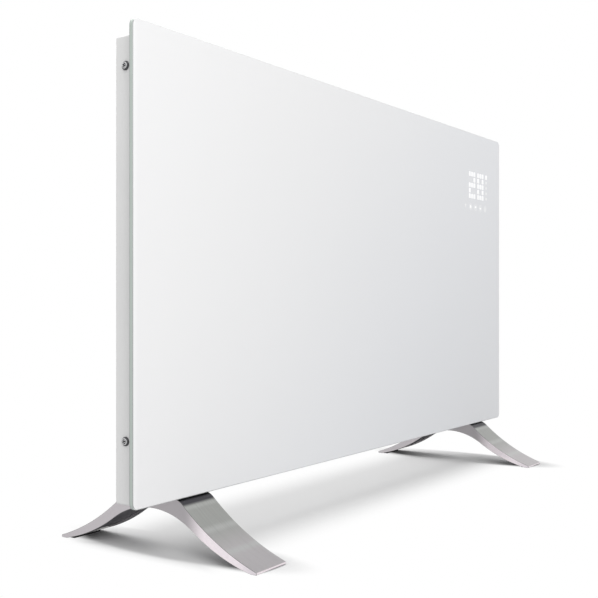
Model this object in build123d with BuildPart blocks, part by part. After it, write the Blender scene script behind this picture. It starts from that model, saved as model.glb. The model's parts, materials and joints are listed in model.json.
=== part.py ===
from build123d import *
import math
import os

# Wall panel convector heater: a back-painted glass front on a shallow steel pan, with a deeper air
# duct behind it, standing on two arched aluminium feet. Millimetres. +X is to the right as seen
# from the front, +Y to the back and +Z up. The origin is on the floor, under the middle of the feet.

os.makedirs("parts", exist_ok=True)

# ------------------------------------------------------------------ driving dimensions

# Glass front
glass_width = 830.0
glass_height = 438.0
glass_thickness = 5.0
glass_corner_radius = 6.5
glass_edge_chamfer = 0.8
glass_floor_gap = 57.5          # floor to the glass's lower edge
glass_ahead_of_feet = 35.0      # glass face to the middle of the feet

# Folded steel housing
steel = 1.0                     # sheet thickness
housing_side_inset = 12.0       # glass edge to housing side
housing_top_inset = 10.5        # glass edge to housing top
housing_bottom_lift = 0.5       # glass edge to housing underside
housing_corner_radius = 2.0
bend_radius = 2.0               # rear edges of pan and duct
pan_depth = 28.5                # back of the glass to the pan's rear face
duct_depth = 31.5               # pan's rear face to the duct's rear face
duct_side_inset = 24.0          # housing side to the foot of the duct's slanted side
duct_side_run = 12.0            # sideways run of the slanted side
outlet_slope_drop = 26.0        # height of the slope at the duct's upper rear edge
outlet_slope_angle = 45.0

# Clearances
cover_gap = 0.3                 # cover's front edge to the glass
fit_gap = 0.3                   # between nested sheet parts
hole_play = 0.25                # radial, screw in a clearance hole
thread_play = 0.05              # radial, screw in its threaded hole
pin_play = 0.05                 # radial, running fit
tape_thickness = 1.0
tape_width = 12.0
least_radius = 0.4              # inner corners of thin flanges

# Air openings
slot_width = 5.0
slot_length = 98.0
slot_pitch = 112.0
slot_columns = 6
outlet_rows = 3
outlet_row_pitch = 9.5
inlet_columns = 5
inlet_rows = 2
inlet_row_pitch = 18.0
louvre_length = 62.0
louvre_height = 9.0
louvre_proud = 5.0
louvre_skin = 0.9
louvre_pitch = 74.0
louvre_columns = 8
louvre_rows = 3
louvre_row_pitch = 20.0
louvre_low_height = 42.0        # housing underside to the lowest louvre's middle
louvre_brow = (0.62, 0.35)      # top of the hood's curve, as shares of its depth and half height

# Fixing screws of the cover
m4_radius = 2.0
m4_head_radius = 4.2
m4_head_height = 2.8
m4_length = 9.0
recess_span_share = 1.15        # cross recess: arm's length over the head's radius
recess_width_share = 0.24       # arm's width over the head's radius
side_screw_depth = 20.0         # behind the glass's face
flange_past_screw = 5.0         # plate flange behind the screws' middle
side_screw_top_drop = 38.5      # below the glass's top edge
side_screw_low_rise = 59.0      # above the glass's low edge
top_screw_pitch = 300.0
low_screw_pitch = 180.0
edge_screw_count = 3

# Feet
foot_length = 250.0
foot_width = 46.0
foot_from_edge = 85.0           # glass edge to the foot's middle
foot_shoulder_setback = 4.5     # back of the glass to the start of the foot's shoulder
foot_shoulder_radius = 20.0
foot_leg_angle = 42.0           # steepest slope of the upper face
foot_tip_thickness = 2.4
foot_rest = 7.0                 # flat length under each tip
foot_crown_thickness = 12.5
foot_arch_radius = 88.0
foot_arch_angle = 34.6          # steepest slope of the underside
foot_edge_break = 0.3
foot_tip_fillet = 0.9
foot_channel_width = 30.0
foot_channel_depth = 1.6
foot_channel_length = 190.0
pad_proud = 0.5
pad_width = 36.0
pad_length = 9.0
pad_tip_gap = 4.5
pad_sunk = 1.0
pad_slope = 14.0                # of the pad's upper face

# Foot fixing
m6_radius = 3.0
m6_head_radius = 5.0
m6_head_height = 6.0
m6_length = 12.0
socket_share = 0.55             # hexagon socket's corner radius over the head's radius
foot_screw_pitch = 26.0
foot_screw_seat = 6.5           # seat below the foot's plateau
nut_plate_length = 60.0
nut_plate_width = 44.0
nut_plate_thickness = 3.0

# Wall fixing
keyhole_pitch = 400.0
keyhole_top_drop = 85.0         # housing top to the entry hole's middle
keyhole_radius = 5.0
keyhole_neck = 5.0
keyhole_travel = 10.0
keyhole_plate_width = 40.0
keyhole_plate_height = 50.0
keyhole_plate_thickness = 1.5

# Heating
shield_thickness = 0.6
shield_standoff = 8.4
shield_low_height = 32.0        # housing underside to the shield's low edge
shield_height = 360.0
shield_lip = 12.0
shield_end_gap = 8.0            # carrier sheet to the shield's end
element_low_height = 46.5       # housing underside to the lower element's axis
element_pitch = 45.0
element_reach = 19.0            # fin tip from the axis
element_fin = 2.4               # fin thickness
element_core_radius = 7.5
element_notch_width = 5.0
element_notch_pitch = 28.0
element_notch_count = 19
element_end_gap = 14.0          # carrier sheet to the fins' end
element_hub = 9.0               # half width of what the notches leave round the core
rod_radius = 4.5
rod_overhang = 14.0             # carrier sheet to the rod's end
bush_radius = 6.4
bush_flange_radius = 9.0
bush_flange = 3.0
bush_length = 9.0
terminal_radius = 2.0
terminal_length = 12.0
terminal_nut_radius = 4.0
terminal_nut_height = 3.2
bracket_from_left = 68.0        # housing side to the left carrier sheet
partition_from_right = 151.0    # housing side to the control bay's wall
carrier_flange = 12.0

# Thermal protection
cutout_height = 156.5           # above the housing underside
cutout_radius = 8.0
cutout_body_height = 7.0
cutout_flange_length = 30.0
cutout_flange_thickness = 1.0
cutout_offset = 40.0
cutout_flange_share = 1.4       # flange's width over the body's radius
fuse_radius = 2.2
fuse_length = 14.0
clip_steel = 0.6
clip_width = 6.0
clip_foot = 7.0
sensor_radius = 2.5
sensor_length = 20.0
sensor_from_right = 22.0
sensor_rise = 40.0

# Display and touch row
display_from_right = 89.8
display_height = 359.6          # above the glass's low edge
block_pitch = 8.3
block_size = 7.3
digit_pitch = 30.7
degree_offset = 37.2            # digits' middle to the degree mark
touch_height = 327.0
touch_from_right = 92.4
touch_pitch = 17.9
touch_count = 5
touch_pad_radius = 4.5
touch_hole_radius = 5.75
mask_border = 2.0
mask_depth = 7.0
board_thickness = 1.6
display_board_width = 98.0
display_board_height = 74.0
display_board_drop = 7.0        # digits' middle to the board's middle
board_hole_inset = 4.0
led_size = 2.2
led_height = 0.8
spacer_radius = 3.2
m3_radius = 1.5
m3_head_radius = 2.8
m3_head_height = 2.0

# Power electronics
power_board_width = 100.0
power_board_height = 126.0
power_board_from_right = 85.0   # housing side to the board's middle
power_board_rise = 181.5        # housing underside to the board's middle
tray_floor = 2.0
tray_wall = 2.0
tray_wall_height = 6.0
tray_post_height = 8.0
tray_post_radius = 4.0
relay_width = 15.5
relay_length = 19.0
relay_height = 15.0
relay_pitch = 24.0
module_width = 28.0
module_length = 34.0
module_height = 16.0
capacitor_radius = 5.0
capacitor_length = 15.0
output_pitch = 10.0
output_poles = 4
output_depth = 12.0
output_height = 12.0

# Mains side
terminal_block_width = 32.0
terminal_block_height = 18.0
terminal_block_depth = 16.0
terminal_block_rise = 71.5
terminal_block_from_right = 68.0
terminal_block_poles = 3
terminal_block_corner = 1.5
gland_from_right = 63.0
gland_rise = 31.5
gland_flange_radius = 9.5
gland_flange = 3.0
gland_body_radius = 7.0
gland_bore_radius = 4.1
gland_length = 14.0
gland_edge_break = 1.0
gland_snap = 1.0                # the snap ring past its hole

# Power switch in the right side wall
switch_rise = 101.5             # housing underside to the switch's middle
switch_depth = 20.0             # behind the glass's face
switch_flange_width = 15.0
switch_flange_height = 21.5
switch_flange = 2.0
switch_body_width = 12.6
switch_body_height = 19.2
switch_body_depth = 18.0
switch_well_width = 11.0
switch_well_height = 17.9
switch_well_depth = 9.0
switch_cut_play = 0.2
rocker_width = 10.4
rocker_radius = 8.6
rocker_crown = 3.2              # pivot to the middle of the rocker's face
rocker_base = 3.0               # pivot to the rocker's underside
rocker_face_angle = 10.0
rocker_pivot_depth = 3.5        # bezel face to the pivot
trunnion_radius = 1.5
trunnion_length = 0.9
blade_width = 4.8
blade_thickness = 0.8
blade_length = 8.0

# Tip-over switch
tilt_rise = 291.5               # housing underside to the pivot
tilt_y = 2.0
tilt_bracket_steel = 1.2
tilt_bracket_width = 20.0
tilt_bracket_gap = 18.0
tilt_ear_drop = 14.0
tilt_back_drop = 42.0
tilt_crown = 7.0
pendulum_width = 14.0
pendulum_hub_radius = 4.0
pendulum_arm = 26.0
pendulum_arm_width = 5.0
pendulum_bob_radius = 8.0
pendulum_pin_radius = 1.5
pin_head_radius = 2.6
pin_head = 1.0
magnet_radius = 2.5
magnet_height = 3.0
reed_gap = 2.0
reed_width = 16.0
reed_height = 6.0
reed_depth = 12.0

# ------------------------------------------------------------------ places worked out from them

y_face = -glass_ahead_of_feet
y_glass_back = y_face + glass_thickness
y_cover_front = y_glass_back + cover_gap
y_pan_back = y_glass_back + pan_depth
y_duct_back = y_pan_back + duct_depth
y_plate_front = y_glass_back + tape_thickness
y_plate_back = y_plate_front + steel
z_glass_low = glass_floor_gap
z_glass_top = z_glass_low + glass_height
z_glass_mid = (z_glass_low + z_glass_top) / 2
z_low = z_glass_low + housing_bottom_lift
z_top = z_glass_top - housing_top_inset
z_mid = (z_low + z_top) / 2
housing_half = glass_width / 2 - housing_side_inset
housing_height = z_top - z_low
y_side_screw = y_face + side_screw_depth
side_screw_heights = (z_glass_low + side_screw_low_rise, z_glass_top - side_screw_top_drop)
foot_x = glass_width / 2 - foot_from_edge
x_bracket = -housing_half + bracket_from_left
x_partition = housing_half - partition_from_right
y_shield_back = y_plate_back + shield_standoff + shield_thickness
y_duct_inner = y_duct_back - steel
y_element = (y_shield_back + y_duct_inner) / 2
element_heights = (z_low + element_low_height, z_low + element_low_height + element_pitch)


def front_plane(y):
    """Plane at depth y that faces the front: its x is the part's X, its y the part's Z."""
    return Plane.XZ.offset(-y)


def ring_sketch(x_half, low, high, radius, wall):
    """Rounded rectangular ring of one wall thickness, for tapes and flanges."""
    RectangleRounded(2 * x_half, high - low, radius)
    inner = max(radius - wall, least_radius)
    RectangleRounded(2 * (x_half - wall), high - low - 2 * wall, inner, mode=Mode.SUBTRACT)


def pan_head_screw(radius, length, head_radius, head_height):
    """Plain pan head screw: seat at the origin, shank towards -Z, head towards +Z."""
    with BuildPart() as screw:
        Cylinder(head_radius, head_height, align=(Align.CENTER, Align.CENTER, Align.MIN))
        chamfer(screw.edges().group_by(Axis.Z)[-1], length=head_height / 3)
        Cylinder(radius, length, align=(Align.CENTER, Align.CENTER, Align.MAX))
    return screw.part


def cross_recess(head_radius, head_height):
    """Cross-shaped recess to be cut into a head that stands on the XY plane."""
    span = head_radius * recess_span_share
    width = head_radius * recess_width_share
    with BuildPart() as recess:
        with BuildSketch(Plane.XY.offset(head_height / 2)):
            Rectangle(span, width)
            Rectangle(width, span)
        extrude(amount=head_height)
    return recess.part


def copies(form, planes):
    """The form standing on each plane in turn."""
    return [plane.location * form for plane in planes]


def board_corners(width, height, x, z):
    """The four fixing places of a board with its middle at x, z."""
    return [
        (x + side * (width / 2 - board_hole_inset), z + rise * (height / 2 - board_hole_inset))
        for side in (-1, 1)
        for rise in (-1, 1)
    ]


def duct_half_width(y, inset):
    """Half width of the duct's slanted walls at depth y, moved inwards by inset."""
    slant = math.atan2(duct_side_run, duct_depth)
    base = housing_half - duct_side_inset - inset / math.cos(slant)
    return base - (y - y_pan_back) * math.tan(slant)


def slope_plane(inset):
    """Plane of the outlet slope, moved inwards by inset; it faces up and back."""
    turn = math.radians(outlet_slope_angle)
    face = Plane(origin=(0, y_duct_back, z_top - outlet_slope_drop), x_dir=(1, 0, 0),
                 z_dir=(0, math.sin(turn), math.cos(turn)))
    return face.offset(-inset)


# ------------------------------------------------------------------ glass front and its bond

with BuildPart() as front_glass:
    with BuildSketch(front_plane(y_glass_back)):
        with Locations((0, z_glass_mid)):
            RectangleRounded(glass_width, glass_height, glass_corner_radius)
    extrude(amount=glass_thickness)
    glass_faces = front_glass.faces().filter_by(Axis.Y)
    chamfer(glass_faces.edges(), length=glass_edge_chamfer)

plate_half = housing_half - steel - fit_gap
plate_low = z_low + steel + fit_gap
plate_top = z_top - steel - fit_gap
plate_radius = housing_corner_radius - steel - fit_gap

with BuildPart() as glass_bond_tape:
    with BuildSketch(front_plane(y_plate_front)):
        with Locations((0, (plate_low + plate_top) / 2)):
            ring_sketch(plate_half, plate_low, plate_top, plate_radius, tape_width)
        for x in (-plate_half / 3, plate_half / 3):
            with Locations((x, (plate_low + plate_top) / 2)):
                Rectangle(tape_width, plate_top - plate_low - tape_width)
    extrude(amount=tape_thickness)

# ------------------------------------------------------------------ front plate behind the glass

plate_flange_depth = side_screw_depth - glass_thickness - tape_thickness + flange_past_screw
x_display = glass_width / 2 - display_from_right
z_display = z_glass_low + display_height
mask_low_x = x_display - digit_pitch / 2 - block_pitch - block_size / 2 - mask_border
mask_high_x = x_display + degree_offset + block_size / 2 + mask_border
mask_width = mask_high_x - mask_low_x
mask_height = 4 * block_pitch + block_size + 2 * mask_border
x_mask = (mask_low_x + mask_high_x) / 2
x_touch = glass_width / 2 - touch_from_right
z_touch = z_glass_low + touch_height
display_corners = board_corners(display_board_width, display_board_height, x_display,
                                z_display - display_board_drop)
x_switch = housing_half
y_switch = y_face + switch_depth
z_switch = z_low + switch_rise
y_flange_mid = y_plate_front + plate_flange_depth / 2

side_screw_planes = [
    Plane(origin=(side * housing_half, y_side_screw, z), x_dir=(0, 1, 0), z_dir=(side, 0, 0))
    for side in (-1, 1)
    for z in side_screw_heights
]
edge_screw_planes = [
    Plane(origin=((index - (edge_screw_count - 1) / 2) * pitch, y_side_screw, z), z_dir=(0, 0, way))
    for z, way, pitch in ((z_top, 1, top_screw_pitch), (z_low, -1, low_screw_pitch))
    for index in range(edge_screw_count)
]

with BuildPart() as front_plate:
    with BuildSketch(front_plane(y_plate_back)):
        with Locations((0, (plate_low + plate_top) / 2)):
            RectangleRounded(2 * plate_half, plate_top - plate_low, plate_radius)
    extrude(amount=steel)
    with BuildSketch(front_plane(y_plate_front)):
        with Locations((0, (plate_low + plate_top) / 2)):
            ring_sketch(plate_half, plate_low, plate_top, plate_radius, steel)
    extrude(amount=-plate_flange_depth)
    # window for the light mask and holes for the touch pads
    with BuildSketch(front_plane(y_plate_back)):
        with Locations((x_mask, z_display)):
            Rectangle(mask_width + 2 * fit_gap, mask_height + 2 * fit_gap)
        with Locations((x_touch, z_touch)):
            with GridLocations(touch_pitch, 1, touch_count, 1):
                Circle(touch_hole_radius)
    extrude(amount=steel, mode=Mode.SUBTRACT)
    # notches in the flanges for the switch and for the feet's nut plates
    with Locations((plate_half, y_flange_mid + steel, z_switch)):
        Box(8 * steel, plate_flange_depth, switch_body_height + 2 * steel, mode=Mode.SUBTRACT)
    for x in (-foot_x, foot_x):
        with Locations((x, y_flange_mid + steel, plate_low)):
            Box(nut_plate_length + 4 * steel, plate_flange_depth, 8 * steel, mode=Mode.SUBTRACT)
    # threaded holes for the cover's and the display board's screws
    with Locations(*side_screw_planes, *edge_screw_planes):
        Hole(m4_radius + thread_play, depth=m4_length)
    with BuildSketch(front_plane(y_plate_back)):
        with Locations(*display_corners):
            Circle(m3_radius + thread_play)
    extrude(amount=steel, mode=Mode.SUBTRACT)

# ------------------------------------------------------------------ rear cover


def duct_form(inset):
    """Solid form of the air duct, moved inwards by inset, running forward into the pan."""
    y_start = y_pan_back - bend_radius - 2 * steel
    y_end = y_duct_back - inset
    start_half = duct_half_width(y_start, inset)
    end_half = duct_half_width(y_end, inset)
    with BuildPart() as duct:
        with BuildSketch(Plane.XY.offset(z_low + inset)):
            Polygon((-start_half, y_start), (start_half, y_start), (end_half, y_end),
                    (-end_half, y_end), align=None)
        extrude(amount=housing_height - 2 * inset)
        split(bisect_by=slope_plane(inset), keep=Keep.BOTTOM)
        rear = duct.faces().sort_by(Axis.Y)[-1]
        fillet(rear.edges(), radius=bend_radius - inset)
    return duct.part


def cover_form(inset, reach):
    """Solid form of pan and duct together, moved inwards by inset, open side reach longer."""
    duct = duct_form(inset)
    with BuildPart() as form:
        with BuildSketch(front_plane(y_pan_back - inset)):
            with Locations((0, z_mid)):
                RectangleRounded(2 * (housing_half - inset), housing_height - 2 * inset,
                                 housing_corner_radius - inset)
        extrude(amount=y_pan_back - inset - y_cover_front + reach)
        fillet(form.faces().sort_by(Axis.Y)[-1].edges(), radius=bend_radius - inset)
        add(duct)
    return form.part


def louvre_form(y_wall):
    """One pressed louvre: a hood over its slot, open downwards, on the wall at y_wall."""
    top = louvre_height / 2
    with BuildPart() as hood:
        for skin, mode in ((0, Mode.ADD), (louvre_skin, Mode.SUBTRACT)):
            half = louvre_length / 2 - skin
            with BuildSketch(Plane.YZ):
                with BuildLine():
                    wall_point = (y_wall - steel / 2, top - skin)
                    low_point = (y_wall - steel / 2, -top - skin)
                    lip_point = (y_wall + louvre_proud - skin, -top - skin)
                    Polyline(wall_point, low_point, lip_point)
                    brow = (y_wall + louvre_proud * louvre_brow[0] - skin, top * louvre_brow[1] - skin)
                    ThreePointArc(lip_point, brow, wall_point)
                make_face()
            extrude(amount=half, both=True, mode=mode)
    return hood.part


cover_outer = cover_form(0, 0)
cover_inner = cover_form(steel, 2 * steel)
louvre = louvre_form(y_duct_back)
z_louvre_mid = z_low + louvre_low_height + louvre_row_pitch * (louvre_rows - 1) / 2
louvre_planes = [
    Plane(origin=((column - (louvre_columns - 1) / 2) * louvre_pitch, 0,
                  z_low + louvre_low_height + row * louvre_row_pitch))
    for column in range(louvre_columns)
    for row in range(louvre_rows)
]
slope_length = outlet_slope_drop / math.sin(math.radians(outlet_slope_angle))
x_gland = housing_half - gland_from_right
z_gland = z_low + gland_rise
z_keyhole = z_top - keyhole_top_drop
keyhole_xs = (-keyhole_pitch / 2, keyhole_pitch / 2)
foot_screw_places = [
    (x, side * foot_screw_pitch / 2) for x in (-foot_x, foot_x) for side in (-1, 1)
]


def keyholes():
    """Sketch of the two keyholes: round entries below narrow necks."""
    for x in keyhole_xs:
        with Locations((x, z_keyhole)):
            Circle(keyhole_radius)
        with Locations((x, z_keyhole + keyhole_travel / 2)):
            SlotCenterToCenter(keyhole_travel, keyhole_neck, rotation=90)


with BuildPart() as rear_cover:
    add(cover_outer)
    add(cover_inner, mode=Mode.SUBTRACT)
    # warm air outlets in the slope and in the pan's top
    with BuildSketch(slope_plane(0)):
        with Locations((0, -slope_length / 2)):
            with GridLocations(slot_pitch, outlet_row_pitch, slot_columns, outlet_rows):
                SlotOverall(slot_length, slot_width)
    extrude(amount=-3 * steel, mode=Mode.SUBTRACT)
    with BuildSketch(Plane.XY.offset(z_top)):
        with Locations((0, (y_pan_back + y_plate_front + plate_flange_depth) / 2)):
            with GridLocations(slot_pitch, 1, slot_columns, 1):
                SlotOverall(slot_length, slot_width)
    extrude(amount=-3 * steel, mode=Mode.SUBTRACT)
    # cool air inlets in the underside
    with BuildSketch(Plane.XY.offset(z_low)):
        with Locations((0, (y_plate_front + plate_flange_depth + y_duct_back) / 2)):
            with GridLocations(slot_pitch, inlet_row_pitch, inlet_columns, inlet_rows):
                SlotOverall(slot_length, slot_width)
    extrude(amount=3 * steel, mode=Mode.SUBTRACT)
    # louvres: slots in the rear wall, each under its own hood
    with BuildSketch(front_plane(y_duct_back)):
        with Locations((0, z_louvre_mid)):
            with GridLocations(louvre_pitch, louvre_row_pitch, louvre_columns, louvre_rows):
                Rectangle(louvre_length - 2 * louvre_skin, louvre_height - louvre_skin)
    extrude(amount=3 * steel, mode=Mode.SUBTRACT)
    add(copies(louvre, louvre_planes))
    # wall fixing, cable inlet, switch opening, foot and cover screws
    with BuildSketch(front_plane(y_duct_back)):
        keyholes()
        with Locations((x_gland, z_gland)):
            Circle(gland_body_radius + hole_play)
    extrude(amount=3 * steel, mode=Mode.SUBTRACT)
    with Locations((x_switch, y_switch, z_switch)):
        Box(4 * steel, switch_body_width + 2 * switch_cut_play,
            switch_body_height + 2 * switch_cut_play, mode=Mode.SUBTRACT)
    with Locations(*[Plane(origin=(x, y, z_low), z_dir=(0, 0, -1)) for x, y in foot_screw_places]):
        Hole(m6_radius + hole_play, depth=2 * steel)
    with Locations(*side_screw_planes, *edge_screw_planes):
        Hole(m4_radius + hole_play, depth=2 * steel)

cover_screw = pan_head_screw(m4_radius, m4_length, m4_head_radius, m4_head_height)

cover_recess = cross_recess(m4_head_radius, m4_head_height)

with BuildPart() as cover_side_screws:
    add(copies(cover_screw, side_screw_planes))
    add(copies(cover_recess, side_screw_planes), mode=Mode.SUBTRACT)

with BuildPart() as cover_edge_screws:
    add(copies(cover_screw, edge_screw_planes))
    add(copies(cover_recess, edge_screw_planes), mode=Mode.SUBTRACT)

with BuildPart() as keyhole_plates:
    with BuildSketch(front_plane(y_duct_inner)):
        for x in keyhole_xs:
            with Locations((x, z_keyhole + keyhole_travel / 2)):
                RectangleRounded(keyhole_plate_width, keyhole_plate_height, keyhole_neck)
        with BuildSketch(mode=Mode.SUBTRACT):
            keyholes()
    extrude(amount=keyhole_plate_thickness)

# ------------------------------------------------------------------ feet


def underside(rise):
    """Right half of the foot's arched underside, raised by rise: two tangent arcs."""
    z_crown = z_low - foot_crown_thickness + rise
    arch = JernArc((0, z_crown), (1, 0), foot_arch_radius, -foot_arch_angle)
    return TangentArc(arch @ 1, (foot_length / 2 - foot_rest, pad_proud + rise), tangent=arch % 1)


def foot_outline():
    """Lines of the right half of the foot's side outline, closed at the middle."""
    plateau = -y_glass_back - foot_shoulder_setback
    tip = (foot_length / 2, pad_proud + foot_tip_thickness)
    flat = Line((0, z_low), (plateau, z_low))
    shoulder = JernArc(flat @ 1, flat % 1, foot_shoulder_radius, -foot_leg_angle)
    TangentArc(shoulder @ 1, tip, tangent=shoulder % 1)
    Polyline(tip, (foot_length / 2, pad_proud), underside(0) @ 1)
    Line((0, z_low - foot_crown_thickness), (0, z_low))


def channel_outline():
    """Lines of the right half of the channel along the underside, open downwards."""
    end = underside(foot_channel_depth) @ 1
    Polyline(end, (end.X, 0), (0, 0), (0, z_low - foot_crown_thickness + foot_channel_depth))


def pad_outline():
    """Side outline of one foot pad: flat on the floor, let into the slanting underside."""
    outer = foot_length / 2 - pad_tip_gap
    rise = pad_proud + pad_sunk
    slant_rise = pad_length * math.tan(math.radians(pad_slope))
    Polygon((outer, 0), (outer, rise), (outer - pad_length, rise + slant_rise),
            (outer - pad_length, 0), align=None)


def foot_form(x):
    """One arched foot with its middle at x."""
    z_seat = z_low - foot_screw_seat
    z_start = z_low - foot_crown_thickness - m6_radius
    with BuildPart() as body:
        with BuildSketch(Plane.YZ.offset(x)):
            with BuildLine():
                foot_outline()
            make_face()
            mirror(about=Plane.YZ)
        extrude(amount=foot_width / 2, both=True)
        cross_edges = body.edges().filter_by(Axis.X)
        tips = [edge for edge in cross_edges if abs(edge.center().Y) > foot_length / 2 - 0.01]
        fillet(tips, radius=min(foot_tip_fillet, 0.4 * foot_tip_thickness))
        chamfer(body.faces().filter_by(Axis.X).edges(), length=foot_edge_break)
        with BuildSketch(Plane.YZ.offset(x)):
            with BuildLine():
                channel_outline()
            make_face()
            mirror(about=Plane.YZ)
            Rectangle(foot_channel_length, 4 * z_low, mode=Mode.INTERSECT)
        extrude(amount=foot_channel_width / 2, both=True, mode=Mode.SUBTRACT)
        with BuildSketch(Plane.YZ.offset(x)):
            pad_outline()
            mirror(about=Plane.YZ)
        extrude(amount=pad_width / 2, both=True, mode=Mode.SUBTRACT)
        with Locations(*[Plane(origin=(x, side * foot_screw_pitch / 2, z_start),
                               z_dir=(0, 0, -1)) for side in (-1, 1)]):
            CounterBoreHole(m6_radius + hole_play, m6_head_radius + 4 * hole_play,
                            z_seat - z_start, 2 * foot_crown_thickness)
    return body.part


def socket_screw(radius, length, head_radius, head_height):
    """Socket head screw: seat at the origin, shank towards -Z, head towards +Z."""
    with BuildPart() as screw:
        Cylinder(radius, length, align=(Align.CENTER, Align.CENTER, Align.MAX))
        Cylinder(head_radius, head_height, align=(Align.CENTER, Align.CENTER, Align.MIN))
        with BuildSketch(Plane.XY.offset(head_height)):
            RegularPolygon(head_radius * socket_share, 6)
        extrude(amount=-head_height / 2, mode=Mode.SUBTRACT)
    return screw.part


left_foot_form = foot_form(-foot_x)
right_foot_form = foot_form(foot_x)

with BuildPart() as foot_left:
    add(left_foot_form)

with BuildPart() as foot_right:
    add(right_foot_form)

with BuildPart() as foot_pads:
    with BuildSketch(Plane.YZ.offset(-foot_x), Plane.YZ.offset(foot_x)):
        pad_outline()
        mirror(about=Plane.YZ)
    extrude(amount=pad_width / 2, both=True)

foot_screw_form = socket_screw(m6_radius, m6_length, m6_head_radius, m6_head_height)
foot_screw_planes = [
    Plane(origin=(x, y, z_low - foot_screw_seat), z_dir=(0, 0, -1)) for x, y in foot_screw_places
]

with BuildPart() as foot_screws:
    add(copies(foot_screw_form, foot_screw_planes))

with BuildPart() as foot_nut_plates:
    with BuildSketch(Plane.XY.offset(z_low + steel)):
        with Locations((-foot_x, 0), (foot_x, 0)):
            RectangleRounded(nut_plate_length, nut_plate_width, nut_plate_thickness)
        with Locations(*foot_screw_places):
            Circle(m6_radius + thread_play, mode=Mode.SUBTRACT)
    extrude(amount=nut_plate_thickness)

# ------------------------------------------------------------------ heating elements


def carrier_sheet(x, way, y_end, low, high):
    """Upright sheet across the air duct, its flange on the front plate turned to the way side."""
    with BuildPart() as sheet:
        with BuildSketch(Plane.YZ.offset(x)):
            with Locations(((y_plate_back + y_end) / 2, (low + high) / 2)):
                Rectangle(y_end - y_plate_back, high - low)
        extrude(amount=way * steel)
        with BuildSketch(Plane.YZ.offset(x)):
            with Locations((y_plate_back + steel / 2, (low + high) / 2)):
                Rectangle(steel, high - low)
        extrude(amount=way * carrier_flange)
        with BuildSketch(Plane.YZ.offset(x)):
            with Locations(*[(y_element, z) for z in element_heights]):
                Circle(bush_radius + thread_play)
        extrude(amount=way * steel, mode=Mode.SUBTRACT)
        split(bisect_by=slope_plane(steel + fit_gap), keep=Keep.BOTTOM)
    return sheet.part


bay_wall_form = carrier_sheet(x_partition, 1, y_duct_inner - fit_gap,
                              plate_low + steel + fit_gap, plate_top - steel - fit_gap)
bracket_form = carrier_sheet(x_bracket, -1, y_element + element_reach,
                             element_heights[0] - element_reach,
                             element_heights[1] + element_reach)

with BuildPart() as control_bay_wall:
    add(bay_wall_form)

with BuildPart() as element_bracket:
    add(bracket_form)

# left and right ends of both elements: the carrier's outer face, facing away from the fins
element_ends = [
    Plane(origin=(x, y_element, z), x_dir=(0, 1, 0), z_dir=(way, 0, 0))
    for x, way in ((x_bracket - steel, -1), (x_partition + steel, 1))
    for z in element_heights
]
fins_start = x_bracket + element_end_gap
fins_length = x_partition - element_end_gap - fins_start
notch_planes = [
    Plane.YZ.offset(fins_start + fins_length / 2
                    + (index - (element_notch_count - 1) / 2) * element_notch_pitch)
    for index in range(element_notch_count)
]


def finned_element(z):
    """Aluminium element body: a bored core with four notched fins in an X."""
    with BuildPart() as body:
        with BuildSketch(Plane.YZ.offset(fins_start)):
            with Locations((y_element, z)):
                Circle(element_core_radius)
                for turn in (45, -45):
                    Rectangle(2 * element_reach, element_fin, rotation=turn)
                Circle(rod_radius + thread_play, mode=Mode.SUBTRACT)
        extrude(amount=fins_length)
        with BuildSketch(*notch_planes):
            with Locations((y_element, z)):
                Rectangle(2 * element_reach, 2 * element_reach)
                Rectangle(2 * element_hub, 2 * element_hub, rotation=45, mode=Mode.SUBTRACT)
        extrude(amount=element_notch_width / 2, both=True, mode=Mode.SUBTRACT)
    return body.part


element_forms = [finned_element(z) for z in element_heights]

with BuildPart() as lower_element:
    add(element_forms[0])

with BuildPart() as upper_element:
    add(element_forms[1])

with BuildPart() as element_rods:
    rod_start = x_bracket - steel - rod_overhang
    with BuildSketch(Plane.YZ.offset(rod_start)):
        with Locations(*[(y_element, z) for z in element_heights]):
            Circle(rod_radius)
    extrude(amount=x_partition + steel + rod_overhang - rod_start)

with BuildPart() as bush:
    Cylinder(bush_flange_radius, bush_flange, align=(Align.CENTER, Align.CENTER, Align.MIN))
    Cylinder(bush_radius, bush_length - bush_flange,
             align=(Align.CENTER, Align.CENTER, Align.MAX))
    Hole(rod_radius + thread_play)

with BuildPart() as element_bushes:
    add(copies(bush.part, element_ends))

with BuildPart() as element_terminals:
    add(copies(Cylinder(terminal_radius, terminal_length,
                        align=(Align.CENTER, Align.CENTER, Align.MIN), mode=Mode.PRIVATE),
               [end.offset(rod_overhang) for end in element_ends]))

with BuildPart() as nut:
    with BuildSketch(Plane.XY):
        RegularPolygon(terminal_nut_radius, 6)
        Circle(terminal_radius + thread_play, mode=Mode.SUBTRACT)
    extrude(amount=terminal_nut_height)

with BuildPart() as terminal_nuts:
    add(copies(nut.part, [end.offset(rod_overhang + terminal_length / 3) for end in element_ends]))

with BuildPart() as heat_shield:
    shield_left = x_bracket + shield_end_gap
    shield_right = x_partition - shield_end_gap
    shield_mid = (shield_left + shield_right) / 2
    shield_half = (shield_right - shield_left) / 2
    y_web = y_shield_back - shield_thickness / 2
    with BuildSketch(Plane.XY.offset(z_low + shield_low_height)):
        with Locations((shield_mid, y_web)):
            Rectangle(2 * (shield_half - shield_lip), shield_thickness)
        for side in (-1, 1):
            x_wall = shield_mid + side * (shield_half - shield_lip)
            with Locations((x_wall, (y_plate_back + y_shield_back) / 2)):
                Rectangle(shield_thickness, y_shield_back - y_plate_back)
            with Locations((x_wall + side * shield_lip / 2, y_plate_back + shield_thickness / 2)):
                Rectangle(shield_lip, shield_thickness)
    extrude(amount=shield_height)

# ------------------------------------------------------------------ thermal protection

z_cutout = z_low + cutout_height

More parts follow.
